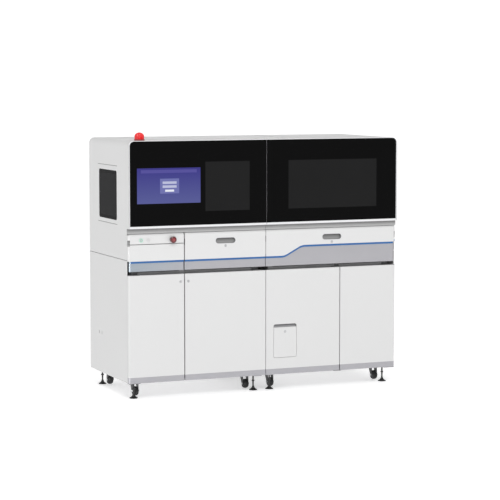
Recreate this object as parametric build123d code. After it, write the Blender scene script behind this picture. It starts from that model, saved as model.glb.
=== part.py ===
"""Two-module workstation that draws nucleic acid out of samples with magnetic rods.

Two welded base frames stand side by side on levelling feet and casters. Each carries a steel hood
with a lift-up glass front, drawers in the middle and doors below. Inside, a gantry pipettes over
the deck, and a tower dips magnetic rods into the well plates on its heater.

X runs to the right, Y to the back and Z up, in millimetres. The origin is on the floor, under the
middle of the bounding box: X at the joint between the modules, Y halfway from stop button to back.
"""
from build123d import *
import math
import os

# Overall sizes
MODULE_WIDTH = 900.0        # one module, side face to joint
LOWER_DEPTH = 735.0         # door faces to back panel
OVERHANG = 15.0             # upper front ahead of the door faces
BUTTON_REACH = 33.0         # stop button ahead of the door faces
CASE_BOTTOM = 100.0         # floor to the lower edge of doors and panels
CASE_TOP = 1566.5           # floor to the top sheet
BEACON_HEIGHT = 50.0        # beacon above the top sheet

# Heights of the front, from the bottom up
KICK_H = 36.2               # silver kick strip
DOOR_TOP = 755.5            # above the floor
FINGER_GAP = 23.5           # channel between the doors and the silver band
BAND_H = 62.4               # band and stripe together, on the left
BAND_RISE = 62.7            # climb of the stripe, on the right
BARE_PANEL_H = 101.6        # between the stripe and the control strip
CONTROL_STRIP_H = 63.0
LEDGE_GAP = 2.0
LEDGE_H = 30.0
LID_GAP_BELOW = 1.0
LID_FOOT = 13.2             # lid's white border below the glass
SIDE_SEAM_RISE = 6.5        # joint between side panel and hood, above the stripe
DECK_DROP = 8.0             # deck below the ledge's top

# Gaps between neighbours
SEAM = 4.0                  # visible gap at the joint between the modules
LEFT_SEAM = 7.0             # wider gaps where a door meets the next in one module
RIGHT_SEAM = 6.0
PANEL_SEAM = 3.0            # gap between side panel and hood
FIT = 0.3                   # gap where a moving face passes a fixed one
RUN = 0.05                  # radial clearance of a pin in its bore
PANEL_GAP = 2.5             # gap between door backs and the side panel's edge

# Sheet and plate thicknesses
FRONT_T = 20.0              # doors and drawer fronts
SKIN = 2.0                  # hood sheet
DECK_T = 3.0
SHEET = 2.0                 # side and back panels
PAN = 1.5                   # drawer boxes and bin
FLANGE = 20.0               # folded edges of the side and back panels
LID_T = 16.0                # lid, glass included
GLASS_T = 4.0

# Corner radii
HOOD_R = 35.0               # hood's long top edge
FRONT_R = 18.0              # outer upright edges of doors and drawer fronts
DRAWER_TOP_R = 14.0         # rolled upper edge of the drawer row

# Where the front is divided
LEFT_NARROW = 361.6         # from the left side face to the seam beside the control panel
RIGHT_WIDE = 508.3          # from the joint between the modules to the right seam

# Silver band and blue stripe
STRIPE_H = 12.0
BAND_INSET = 9.0            # band's end in from the side face
BAND_SETBACK = 8.0          # band's face behind the door faces
STRIPE_SETBACK = 3.0
RISE_START = 104.7          # X where the stripe starts to climb
RISE_ANGLE = 28.0           # slope of its straight stretch, degrees
RISE_R = 90.0               # both bends of the climb

# Base frame, of square tube
TUBE = 40.0
TUBE_WALL = 2.0
FRAME_BOTTOM = 104.0
FRAME_SETBACK = 52.0        # tube's face behind the door faces
FRAME_INSET = 35.0          # tube's face in from the module's side
MULLION = 30.0              # posts between doors, and the cross rails
CROSS_RISE = 14.5           # rail under the drawers, above the doors
PAN_FLOOR = 2.0             # floor sheet of the cabinet

# Doors
OUTER_PIVOT = 10.0          # pivot from the outer edge, on the outermost doors
INNER_PIVOT = 30.0          # pivot from the edge, on the doors between them
PAN_T = 2.0                 # sheet of the door pans
RETURN = 16.0               # folded edge round the back of a door
BUSH = 7.0                  # half the width of a hinge block
FLAP_SURROUND = 14.0        # pressed surround of the waste flap
PIN_R = 3.0
PIN_LENGTH = 12.0
BRACKET_T = 3.0
LOCK_R = 7.5
LOCK_FROM_SEAM = 25.0
LOCK_DROP = 46.3            # below the door's top
LOCK_PROUD = 1.5
LOCK_DEPTH = 12.0
KEY_W = 1.6
KEY_H = 7.0
KEY_DEPTH = 3.0

# Waste flap in the wide right door
FLAP_X = (52.8, 210.3)
FLAP_Z = (203.8, 414.2)
FLAP_R = 13.0
FLAP_GAP = 2.0
FLAP_GRIP = 20.0            # height of the finger recess along its top
FLAP_T = 12.0
FLAP_KEY_DROP = 47.5        # keyhole below the flap's top
FLAP_AXIS_Y = 6.0           # hinge line behind the door face
FLAP_AXIS_Z = 8.0           # hinge line above the flap's lower edge

# Drawers
PULL_W = 133.0
PULL_H = 37.0
PULL_DROP = 56.0            # pull's middle below the drawer's top
PULL_DEPTH = 14.0
DRAWER_LOCK_DROP = 88.0
BOX_RISE = 30.0             # box's floor above the rail under the drawers
BOX_H = 158.0
BOX_DEPTH = 520.0
RAIL_H = 46.0
RAIL_W = 13.0               # fixed and moving members together
RAIL_LIP = 2.0
RAIL_RISE = 50.0            # rail's middle above the box's floor
BLOCK_HALF = 15.0           # switch blocks behind the control panel

# Glass windows of the lids, and the display
WINDOW_SHARE = (0.162, 0.7487)   # window's lower and upper edge, of the glass height
LEFT_WINDOW_GAP = 32.1      # from the display
LEFT_WINDOW_MARGIN = 115.0  # from the joint between the modules
RIGHT_WINDOW_MARGIN = 146.4     # from both ends of the right module
SCREEN_W = 408.0
SCREEN_H = 213.6
SCREEN_MARGIN = 53.4        # from the side face
SCREEN_SHARE = 0.4745       # display's middle, of the glass height
SCREEN_DEPTH = 30.0
LID_RIM = 4.0               # hood's edge beside the lid
GLASS_SIDE = 4.0            # lid's white border beside the glass
GLASS_ROOF = 3.0            # and above it
LID_BORDER = 24.0           # solid border round the lid's back
LID_SKIN = 2.0              # sheet behind the glass
LID_AXIS_Y = 10.0           # lid's pin behind the glass face
LID_AXIS_Z = 8.0            # lid's pin below the top sheet
LID_PIN_R = 2.5
LID_EYE_R = 5.0
LID_ARM_W = 14.0
LID_POCKET_W = 16.0
LID_GAP = 4.0               # lid's back to the top sheet's edge
LID_ARM_IN = 170.0          # hinge arms, from both ends of the module

# Side window and its two grooves, from the door faces backwards
SIDE_WINDOW_Y = (203.0, 537.5)
SIDE_WINDOW_RISE = 38.8     # above the lid's lower edge
SIDE_WINDOW_DROP = 187.1    # below the top sheet
SIDE_WINDOW_R = 14.0
GROOVE_Y = (196.0, 560.0)
GROOVE_RISE = 12.5
GROOVE_DROP = 159.0
GROOVE_H = 3.0
GROOVE_DEPTH = 1.0

# Two small slots low on the side panels
SLOT_Y = (503.0, 555.0)
SLOT_Z = 352.0
SLOT_W = 8.0
SLOT_H = 22.0

# Hatch in the top sheet
HATCH_SIDE = 200.0          # in from both ends of the module
HATCH_FRONT = 150.0
HATCH_REAR = 65.0
HATCH_T = 2.0
HATCH_R = 8.0

# Buttons and beacon
POWER_IN = 83.0             # in from the side face
PORT_IN = 129.0
STOP_IN = 282.0
BUTTON_RISE = 25.0          # above the control strip's lower edge
BEZEL_R = 13.5
BEZEL_T = 2.5
PLUNGER_R = 8.5
PLUNGER_PROUD = 3.5
POWER_TRAVEL = 2.5
PORT_R = 11.8
STOP_COLLAR_R = 17.0
STOP_COLLAR_T = 12.0
STOP_R = 19.5
STOP_HEAD_T = 13.0
STOP_STEM_R = 8.0
STOP_TRAVEL = 6.0
BEACON_IN = 88.0
BEACON_BACK = 52.0          # behind the glass face
BEACON_R = 32.0
BEACON_RING_H = 8.0
BEACON_CAP = 28.0           # height of the dome's round part

# Levelling feet and casters
FOOT_INSET_Y = 72.0
PAD_R = 25.0
PAD_RIM = 5.0
PAD_H = 26.0
PAD_WAIST = (0.46, 0.42)    # flare's middle, of the pad's radius and of the flare's height
NECK = 2.0                  # pad's neck round the stud
STUD_R = 5.0
NUT_R = 10.0
NUT_H = 8.0
NUT_Z = 56.0
CASTER_X = 30.0             # wheel in from the foot, sideways
CASTER_Y = 58.0             # wheel in from the foot, lengthways
TRAIL = 18.0
WHEEL_R = 29.0
WHEEL_W = 30.0
WHEEL_LIFT = 5.5            # wheel clear of the floor while the feet carry the load
HUB_SHARE = 0.55            # hub's radius, of the wheel's
HUB_RECESS = 3.0
TREAD_CROWN = 5.0
AXLE_R = 4.0
FORK_T = 4.0
FORK_L = 48.0
FORK_SIDE = 1.0             # between wheel and cheek
AXLE_BOSS = 2.4             # cheek's end, of the axle's radius
CROWN_T = 6.0
PLATE_T = 3.0
PLATE_W = 60.0
KING_R = 6.0
KING_HEAD = 9.0

# Gantry
RAIL_BOX = 60.0
GANTRY_DROP = 66.5          # rail's top below the top sheet
GANTRY_END = 50.0           # rail's end in from the side face
GUIDE_DEPTH = 8.0           # grooves that guide the saddle, the carriage and the arms
RAIL_GUIDE = 9.0            # half the height of the rail's groove
ARM_GUIDE = 7.0
ARM_GUIDE_DEPTH = 6.0
BRIDGE_IN = 300.0           # arm's rest place, in from the side face
BRIDGE_W = 44.0
BRIDGE_H = 56.0
BRIDGE_FRONT = 96.0         # arm's end behind the glass face
SADDLE_W = 90.0
SADDLE_T = 26.0
CARRIAGE_Y = -120.0
CARRIAGE_L = 80.0
CARRIAGE_T = 24.0
CARRIAGE_GUIDE = 16.0
HEAD_W = 92.0
HEAD_T = 44.0
HEAD_R = 6.0
HEAD_H_SHARE = 0.28         # head's height, of the chamber's
HEAD_Z_SHARE = 0.5965       # head's middle over the deck, of the chamber's height
NOZZLES = 8
NOZZLE_PITCH = 9.0
NOZZLE_R = 2.6
NOZZLE_TAPER = 1.5
NOZZLE_SHARE = 0.1156       # nozzle's length, of the chamber's height

# Extraction tower
TOWER_IN = 260.0            # in from the right side face
TOWER_Y = 120.0
TOWER_W = 150.0
TOWER_T = 40.0
TOWER_SHARE = 0.615         # tower's height, of the chamber's
HEATER_L = 170.0
HEATER_H = 24.0
HEATER_LIP = 4.0
SLEEVE_SHARE = 0.3318       # arm's height over the deck, of the chamber's
SLEEVE_T = 12.0
SLEEVE_L = 46.0
SLEEVE_R = 4.2
SLEEVE_WALL = 1.0
ROD_R = 2.4
ROD_L = 78.0
ROD_LIFT = 46.0
ROD_PITCH = 18.0
RODS = 6
ROD_ROWS = 4
ARM_L = 104.0

# Labware on the deck, each place from the tower
PLATE_L = 127.8
PLATE_B = 85.5
PLATE_H = 44.0
WELL = 15.0
WELL_PITCH = 18.0
WELL_DEPTH = 36.0
SPARE_PLATE_X = -280.0
TIP_BOX_X = (-940.0, -790.0)
TIP_BOX_H = 62.0
TIP_BOX_EDGE = 5.0
TUBE_RACK_X = -1120.0
TUBE_RACK_W = 32.0
TUBE_RACK_H = 48.0
TUBE_RACK_FLOOR = 6.0
TUBES = 8
TUBE_PITCH = 19.2
TUBE_R = 8.0
TUBE_L = 78.0

# Back of the machine
VENT_SLOTS = 7
VENT_W = 150.0
VENT_H = 7.0
VENT_PITCH = 15.0
VENT_RISE = 160.0           # lower field above the panel's lower edge
VENT_DROP = 316.5           # upper field below the top sheet
INLET_IN = 210.0            # in from the side face
INLET_RISE = 90.0
INLET_W = 48.0
INLET_H = 28.0
INLET_DEPTH = 18.0
INLET_EDGE = 5.0
SOCKET_HALF = 20.0
SUPPLY_MARGIN = 60.0
SUPPLY_DEPTH = 120.0
PINS = ((-7.0, -3.0), (7.0, -3.0), (0.0, 4.0))
PIN_W = 2.0
PIN_H = 4.0
PIN_SHY = 4.0

# Waste bin
BIN_X = (64.0, 264.0)
BIN_DEPTH = 260.0
BIN_H = 330.0
BIN_FROM_DOOR = 96.0

# Levels that follow from the heights
KICK_TOP = CASE_BOTTOM + KICK_H
BAND_BOTTOM = DOOR_TOP + FINGER_GAP
BAND_LOW = BAND_BOTTOM + BAND_H
BAND_HIGH = BAND_LOW + BAND_RISE
CONTROL_SEAM = BAND_LOW + BARE_PANEL_H
DRAWER_TOP = CONTROL_SEAM + CONTROL_STRIP_H
LEDGE_BOTTOM = DRAWER_TOP + LEDGE_GAP
LEDGE_TOP = LEDGE_BOTTOM + LEDGE_H
LID_BOTTOM = LEDGE_TOP + LID_GAP_BELOW
GLASS_BOTTOM = LID_BOTTOM + LID_FOOT
GLASS_TOP = CASE_TOP - GLASS_ROOF
SIDE_SEAM = BAND_LOW + SIDE_SEAM_RISE
DECK_TOP = LEDGE_TOP - DECK_DROP
CROSS_TOP = DOOR_TOP + CROSS_RISE
LOCK_HEIGHT = DOOR_TOP - LOCK_DROP
PULL_Z = DRAWER_TOP - PULL_DROP
DRAWER_LOCK_Z = DRAWER_TOP - DRAWER_LOCK_DROP
BUTTON_Z = CONTROL_SEAM + BUTTON_RISE
BOX_BOTTOM = CROSS_TOP + BOX_RISE
BOX_TOP = BOX_BOTTOM + BOX_H
RAIL_Z = BOX_BOTTOM + RAIL_RISE
WINDOW_Z = [GLASS_BOTTOM + share * (GLASS_TOP - GLASS_BOTTOM) for share in WINDOW_SHARE]
SCREEN_MIDDLE = GLASS_BOTTOM + SCREEN_SHARE * (GLASS_TOP - GLASS_BOTTOM)
SCREEN_Z = (SCREEN_MIDDLE - SCREEN_H / 2, SCREEN_MIDDLE + SCREEN_H / 2)
SIDE_WINDOW_Z = (LID_BOTTOM + SIDE_WINDOW_RISE, CASE_TOP - SIDE_WINDOW_DROP)
GROOVE_Z = (LID_BOTTOM + GROOVE_RISE, CASE_TOP - GROOVE_DROP)
VENT_Z = (CASE_BOTTOM + VENT_RISE, CASE_TOP - VENT_DROP)
INLET_Z = CASE_BOTTOM + INLET_RISE

# Places across the front
LEFT_SPLIT = LEFT_NARROW - MODULE_WIDTH
RIGHT_SPLIT = RIGHT_WIDE
SCREEN_X = (SCREEN_MARGIN - MODULE_WIDTH, SCREEN_MARGIN + SCREEN_W - MODULE_WIDTH)
LEFT_WINDOW_X = (SCREEN_X[1] + LEFT_WINDOW_GAP, -LEFT_WINDOW_MARGIN)
RIGHT_WINDOW_X = (RIGHT_WINDOW_MARGIN, MODULE_WIDTH - RIGHT_WINDOW_MARGIN)
LID_ARMS = (LID_ARM_IN, MODULE_WIDTH - LID_ARM_IN)
POWER_X = POWER_IN - MODULE_WIDTH
PORT_X = PORT_IN - MODULE_WIDTH
STOP_X = STOP_IN - MODULE_WIDTH
BEACON_X = BEACON_IN - MODULE_WIDTH
INLET_X = INLET_IN - MODULE_WIDTH
BRIDGE_X = BRIDGE_IN - MODULE_WIDTH
TOWER_X = MODULE_WIDTH - TOWER_IN

# Work chamber
CHAMBER = CASE_TOP - DECK_TOP
GANTRY_TOP = CASE_TOP - GANTRY_DROP
HEAD_H = HEAD_H_SHARE * CHAMBER
HEAD_Z = DECK_TOP + HEAD_Z_SHARE * CHAMBER
NOZZLE_L = NOZZLE_SHARE * CHAMBER
TOWER_H = TOWER_SHARE * CHAMBER
SLEEVE_Z = DECK_TOP + SLEEVE_SHARE * CHAMBER

# Planes that follow from the sizes above
FRONT = BUTTON_REACH - (BUTTON_REACH + LOWER_DEPTH) / 2
BACK = FRONT + LOWER_DEPTH
GLASS_FACE = FRONT - OVERHANG
FRONT_BACK = FRONT + FRONT_T
FRAME_FRONT = FRONT + FRAME_SETBACK
FRAME_BACK = BACK - FLANGE - SHEET
FLOOR_Z = FRAME_BOTTOM + TUBE
FOOT_INSET_X = FRAME_INSET + TUBE / 2
DECK_RAIL_TOP = DECK_TOP - DECK_T
LID_BACK = GLASS_FACE + LID_T
STEM_END = FRONT_BACK + SHEET + BLOCK_HALF
LID_PIN_Y = GLASS_FACE + LID_AXIS_Y
LID_PIN_Z = CASE_TOP - LID_AXIS_Z
HALF_SEAM = SEAM / 2


def block(x0, x1, y0, y1, z0, z1):
    """Box between two corners."""
    size = Box(x1 - x0, y1 - y0, z1 - z0)
    return Pos((x0 + x1) / 2, (y0 + y1) / 2, (z0 + z1) / 2) * size


def upright(x, y, z0, z1, radius):
    """Cylinder along Z."""
    return Pos(x, y, (z0 + z1) / 2) * Cylinder(radius, z1 - z0)


def along_y(x, z, y0, y1, radius):
    """Cylinder along Y."""
    return Pos(x, (y0 + y1) / 2, z) * Rot(90, 0, 0) * Cylinder(radius, y1 - y0)


def along_x(y, z, x0, x1, radius):
    """Cylinder along X."""
    return Pos((x0 + x1) / 2, y, z) * Rot(0, 90, 0) * Cylinder(radius, x1 - x0)


def rect(x0, x1, y0, y1, *rounded):
    """Rectangle between two corners. Each rounded item is a corner's place and its radius."""
    face = Pos((x0 + x1) / 2, (y0 + y1) / 2) * Rectangle(x1 - x0, y1 - y0)
    for x, y, radius in rounded:
        corner = face.vertices().sort_by_distance(Vector(x, y, 0))[0]
        face = fillet(corner, radius)
    return face


def from_front(face, y0, y1):
    """Solid of an outline drawn in X and Z, from y0 back to y1."""
    plane = Plane(origin=(0, y0, 0), x_dir=(1, 0, 0), z_dir=(0, -1, 0))
    return extrude(plane * face, amount=y0 - y1)


def from_side(face, x0, x1):
    """Solid of an outline drawn in Y and Z, from x0 to x1."""
    plane = Plane(origin=(x0, 0, 0), x_dir=(0, 1, 0), z_dir=(1, 0, 0))
    return extrude(plane * face, amount=x1 - x0)


def from_below(face, z0, z1):
    """Solid of an outline drawn in X and Y, from z0 up to z1."""
    return extrude(Plane.XY.offset(z0) * face, amount=z1 - z0)


def mirrored(shape):
    """The same shape on the other side of the joint between the modules."""
    return mirror(shape, about=Plane.YZ)


def save(name, *solids):
    """Write one sub-part, made of one or more solids."""
    shape = solids[0] if len(solids) == 1 else Compound(children=list(solids))
    export_step(shape, f"parts/{name}.step")


# Base frames

def tube(x0, x1, y0, y1, z0, z1):
    """Square tube, hollow along its longest side."""
    wall = TUBE_WALL
    sizes = (x1 - x0, y1 - y0, z1 - z0)
    bore = [[x0 + wall, x1 - wall], [y0 + wall, y1 - wall], [z0 + wall, z1 - wall]]
    way = sizes.index(max(sizes))
    bore[way] = [(x0, x1), (y0, y1), (z0, z1)][way]
    return block(x0, x1, y0, y1, z0, z1) - block(*bore[0], *bore[1], *bore[2])


def frame(side, split, mullion_top):
    """Tubes of one module's frame and its floor sheet. side is -1 on the left and 1 on the right."""
    near, far = FRAME_INSET, MODULE_WIDTH - FRAME_INSET
    front, back = FRAME_FRONT, FRAME_BACK
    middle = abs(split)
    tubes = []
    for x0, x1 in ((near, near + TUBE), (far - TUBE, far)):
        tubes.append(tube(x0, x1, front, back, FRAME_BOTTOM, FLOOR_Z))
        tubes.append(tube(x0, x1, front, front + TUBE, FLOOR_Z + PAN_FLOOR, DECK_RAIL_TOP))
        tubes.append(tube(x0, x1, back - TUBE, back, FLOOR_Z + PAN_FLOOR, CASE_TOP - SKIN))
        tubes.append(tube(x0, x1, front + TUBE, back - TUBE, DECK_RAIL_TOP - MULLION, DECK_RAIL_TOP))
    inner = (near + TUBE, far - TUBE)
    for y0 in (front, back - TUBE):
        tubes.append(tube(*inner, y0, y0 + TUBE, FRAME_BOTTOM, FLOOR_Z))
    mullion = (middle - MULLION / 2, middle + MULLION / 2)
    tubes.append(tube(*mullion, front, front + MULLION, FLOOR_Z + PAN_FLOOR, mullion_top))
    for x0, x1 in cross_spans(inner, mullion, mullion_top):
        tubes.append(tube(x0, x1, front, front + MULLION, CROSS_TOP - MULLION, CROSS_TOP))
    for y0 in (front, back - MULLION):
        tubes.append(tube(*inner, y0, y0 + MULLION, DECK_RAIL_TOP - MULLION, DECK_RAIL_TOP))
    tubes.append(block(near, far, front, back, FLOOR_Z, FLOOR_Z + PAN_FLOOR))
    return [mirrored(piece) for piece in tubes] if side < 0 else tubes


def cross_spans(inner, mullion, mullion_top):
    """Where the rail under the drawers runs: over a short mullion, or up to a tall one."""
    if mullion_top > CROSS_TOP:
        return ((inner[0], mullion[0]), (mullion[1], inner[1]))
    return (inner,)


def rear_runner_post():
    """Post behind the tall mullion, where the left drawer's outer runner ends."""
    x0 = LEFT_SPLIT - MULLION / 2
    return tube(x0, x0 + MULLION, FRAME_BACK - MULLION, FRAME_BACK, FLOOR_Z + PAN_FLOOR, DECK_RAIL_TOP - MULLION)


def build_frames():
    tall = DECK_RAIL_TOP - MULLION
    short = CROSS_TOP - MULLION
    save("base_frame_left", *frame(-1, LEFT_SPLIT, tall), rear_runner_post())
    save("base_frame_right", *frame(1, RIGHT_SPLIT, short))


# Side and back panels

def side_panel():
    """Lower left side panel: a folded sheet, open inwards, with two small slots."""
    x0 = -MODULE_WIDTH
    y0, y1 = FRONT_BACK + PANEL_GAP, BACK - SHEET
    z0, z1 = CASE_BOTTOM, SIDE_SEAM - PANEL_SEAM
    fold = y0 + FLANGE / 2
    panel = block(x0, x0 + SHEET, y0, y1, z0, z1)
    for low in (z0, z1 - SHEET):
        panel += block(x0, x0 + FLANGE, fold, y1, low, low + SHEET)
    panel += block(x0, x0 + FLANGE, y1 - SHEET, y1, z0, z1)
    for y in SLOT_Y:
        slot = Pos(FRONT + y, SLOT_Z) * SlotOverall(SLOT_H, SLOT_W, rotation=90)
        panel -= from_side(slot, x0, x0 + SHEET)
    return panel


def back_panel():
    """Left back panel: a flat sheet folded in at both upright edges, with two fields of vent slots."""
    x0, x1 = -MODULE_WIDTH + SKIN, -HALF_SEAM / 2
    y0 = BACK - SHEET
    top = CASE_TOP - SKIN
    panel = from_front(rect(x0, x1, CASE_BOTTOM, top, (x0, top, HOOD_R - SKIN)), y0, BACK)
    middle = (x0 + x1) / 2
    for z in VENT_Z:
        for row in range(VENT_SLOTS):
            height = z + row * VENT_PITCH
            for x in (middle - VENT_W, middle + VENT_W):
                slot = Pos(x, height) * RectangleRounded(VENT_W, VENT_H, VENT_H / 2 - RUN)
                panel -= from_front(slot, y0, BACK)
    return panel


def build_panels():
    left = side_panel()
    save("side_panel_left", left)
    save("side_panel_right", mirrored(left))
    plain = back_panel()
    inlet = rect(INLET_X - INLET_W / 2, INLET_X + INLET_W / 2, INLET_Z - INLET_H / 2, INLET_Z + INLET_H / 2)
    save("back_panel_left", plain - from_front(inlet, BACK - SHEET, BACK))
    save("back_panel_right", mirrored(plain))


# Upper hoods

def lid_outline(grow):
    """The left lid's outline in X and Z: inside the hood's rim, its corner on the hood's own bend."""
    edge, x1 = -MODULE_WIDTH - grow, -HALF_SEAM + grow
    z0, z1 = LID_BOTTOM - grow, CASE_TOP + grow
    bend = rect(edge, x1, z0, z1, (edge, z1, HOOD_R + grow))
    return bend & rect(edge + LID_RIM, x1, z0, z1)


def glass_outline():
    """The left glass's outline, inside the lid's white border."""
    x0 = -MODULE_WIDTH + LID_RIM + GLASS_SIDE
    return rect(x0, -HALF_SEAM, GLASS_BOTTOM, GLASS_TOP, (x0, GLASS_TOP, HOOD_R - LID_RIM - GLASS_ROOF))


def hood():
    """Left hood: side and top sheet in one, bent to a large radius along the top edge."""
    x0, x1 = -MODULE_WIDTH, -HALF_SEAM / 2
    top = CASE_TOP - SKIN
    lid_room = LID_BACK + LID_GAP
    outer = rect(x0, x1, SIDE_SEAM, CASE_TOP, (x0, CASE_TOP, HOOD_R))
    inner = rect(x0 + SKIN, x1, SIDE_SEAM, top, (x0 + SKIN, top, HOOD_R - SKIN))
    shell = from_front(outer - inner, GLASS_FACE, BACK - SHEET)
    shell -= block(x0 + HOOD_R, x1, GLASS_FACE, lid_room, LID_BOTTOM, CASE_TOP)
    shell -= from_front(lid_outline(FIT), GLASS_FACE, lid_room)
    shell -= block(x0, x0 + SKIN, GLASS_FACE, FRONT_BACK + PANEL_GAP, SIDE_SEAM, LID_BOTTOM)
    shell -= from_side(side_opening(0), x0, x0 + SKIN)
    for z in GROOVE_Z:
        shell -= block(x0, x0 + GROOVE_DEPTH, FRONT + GROOVE_Y[0], FRONT + GROOVE_Y[1], z, z + GROOVE_H)
    return shell


def side_opening(shrink):
    """Outline of the side window in Y and Z."""
    wide = SIDE_WINDOW_Y[1] - SIDE_WINDOW_Y[0] - 2 * shrink
    high = SIDE_WINDOW_Z[1] - SIDE_WINDOW_Z[0] - 2 * shrink
    y = FRONT + sum(SIDE_WINDOW_Y) / 2
    return Pos(y, sum(SIDE_WINDOW_Z) / 2) * RectangleRounded(wide, high, SIDE_WINDOW_R)


def hatch():
    """Service hatch that lies on the left top sheet."""
    x = -MODULE_WIDTH / 2
    wide = MODULE_WIDTH - 2 * HATCH_SIDE
    deep = LOWER_DEPTH - HATCH_FRONT - HATCH_REAR
    y = FRONT + HATCH_FRONT + deep / 2
    return from_below(Pos(x, y) * RectangleRounded(wide, deep, HATCH_R), CASE_TOP, CASE_TOP + HATCH_T)


def side_pane():
    """Smoked pane of the left side window, with a clamped edge inside the sheet."""
    x0 = -MODULE_WIDTH
    pane = from_side(side_opening(FIT), x0, x0 + SKIN)
    return pane + from_side(side_opening(-FLANGE / 2), x0 + SKIN, x0 + SKIN + GLASS_T)


def build_hoods():
    shell, cover, pane = hood(), hatch(), side_pane()
    save("housing_left", shell, cover)
    save("housing_right", mirrored(shell), mirrored(cover))
    save("side_windows", pane, mirrored(pane))


# Lids

def lid_glass(hole):
    """Black front pane of the left lid. hole is an outline to leave out, or None."""
    outline = glass_outline()
    if hole:
        outline -= hole
    return from_front(outline, GLASS_FACE, GLASS_FACE + GLASS_T)


def lid_frame(window, screen=None):
    """White pan behind the glass: a border round the edge, a skin with its holes, a pocket per hinge arm."""
    back = GLASS_FACE + GLASS_T
    whole = lid_outline(0)
    pan = from_front(whole, GLASS_FACE, LID_BACK)
    top_edge = pan.edges().filter_by(Axis.X).group_by(Axis.Z)[-1].sort_by(Axis.Y)[-1]
    pan = fillet(top_edge, LID_T - LID_AXIS_Y - RUN)
    pan -= from_front(glass_outline(), GLASS_FACE, back)
    hollow = rect(-MODULE_WIDTH + LID_RIM + LID_BORDER, -HALF_SEAM - LID_BORDER,
                  LID_BOTTOM + LID_BORDER, CASE_TOP - LID_BORDER)
    if screen:
        hollow -= screen_hole(LID_BORDER / 2)
        pan -= from_front(screen, back, LID_BACK)
    pan -= from_front(hollow, back + LID_SKIN, LID_BACK)
    pan -= from_front(window, back, LID_BACK)
    for arm in LID_ARMS:
        half = LID_POCKET_W / 2
        pan -= block(-arm - half, -arm + half, back, LID_BACK, LID_PIN_Z - LID_AXIS_Z, CASE_TOP)
        pan += along_x(LID_PIN_Y, LID_PIN_Z, -arm - half, -arm + half, LID_PIN_R)
    return pan


def lid_arm(x):
    """Fixed hinge arm under the top sheet, with its eye round the lid's pin."""
    half = LID_ARM_W / 2
    top = CASE_TOP - SKIN
    arm = block(x - half, x + half, LID_PIN_Y, LID_BACK + LID_GAP + FLANGE * 2, LID_PIN_Z - LID_EYE_R + 1, top)
    arm += along_x(LID_PIN_Y, LID_PIN_Z, x - half, x + half, LID_EYE_R)
    return arm - along_x(LID_PIN_Y, LID_PIN_Z, x - half, x + half, LID_PIN_R + RUN)


def window_hole(span):
    """Outline of a lid's window, clear of the border above and below it."""
    return rect(*span, *WINDOW_Z)


def screen_hole(grow):
    return rect(SCREEN_X[0] - grow, SCREEN_X[1] + grow, SCREEN_Z[0] - grow, SCREEN_Z[1] + grow)


def build_lids():
    right_window = (-RIGHT_WINDOW_X[1], -RIGHT_WINDOW_X[0])
    save("lid_glass_left", lid_glass(screen_hole(FIT)))
    save("lid_glass_right", mirrored(lid_glass(None)))
    save("lid_frame_left", lid_frame(window_hole(LEFT_WINDOW_X), screen_hole(FIT)))
    save("lid_frame_right", mirrored(lid_frame(window_hole(right_window))))
    screen = from_front(screen_hole(0), GLASS_FACE, GLASS_FACE + SCREEN_DEPTH)
    flange = from_front(screen_hole(LID_BORDER / 2), LID_BACK, GLASS_FACE + SCREEN_DEPTH)
    save("touchscreen", screen + flange)


# Ledge, control panel, drawer fronts and band

def climb(drop):
    """The stripe's line on the right: level, an S-shaped climb, level again. drop lowers it."""
    slope = math.tan(math.radians(RISE_ANGLE))
    bend = RISE_R * math.tan(math.radians(RISE_ANGLE / 2))
    start = RISE_START + bend
    points = [
        (HALF_SEAM, BAND_LOW - drop),
        (start, BAND_LOW - drop),
        (start + (BAND_HIGH - BAND_LOW) / slope, BAND_HIGH - drop),
        (MODULE_WIDTH, BAND_HIGH - drop),
    ]
    return FilletPolyline(*points, radius=RISE_R)


def under_line(line, top):
    """Face between a line across the front and a level above or below it."""
    start, end = line @ 0, line @ 1
    rest = Polyline((end.X, end.Y), (end.X, top), (start.X, top), (start.X, start.Y))
    return make_face([*line.edges(), *rest.edges()])


def front_blank(x0, x1, setback, z0, z1):
    """Upright blank of a front between two seams, rounded where it meets a side face."""
    y0 = FRONT + setback
    radius = FRONT_R - setback if setback < BAND_SETBACK else FRONT_T - BAND_SETBACK - RUN
    rounded = [(x, y0, radius) for x in (x0, x1) if abs(x) > MODULE_WIDTH - FRONT_R]
    return from_below(rect(x0, x1, y0, FRONT_BACK, *rounded), z0, z1)


def roll_top(solid):
    """Round the upper front edge of the drawer row, the corner's arc included."""
    top = solid.faces().sort_by(Axis.Z)[-1]
    edges = [edge for edge in top.edges() if (edge @ 0.5).Y < FRONT_BACK - DRAWER_TOP_R
             and abs((edge @ 0.5).Y - FRONT) < FRONT_R - RUN]
    edges = [edge for edge in edges if abs((edge @ 0).Y - FRONT) < RUN or abs((edge @ 1).Y - FRONT) < RUN]
    edges = [edge for edge in edges if edge.geom_type == GeomType.CIRCLE
             or abs((edge @ 0).Y - (edge @ 1).Y) < RUN]
    return fillet(edges, DRAWER_TOP_R)


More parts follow.
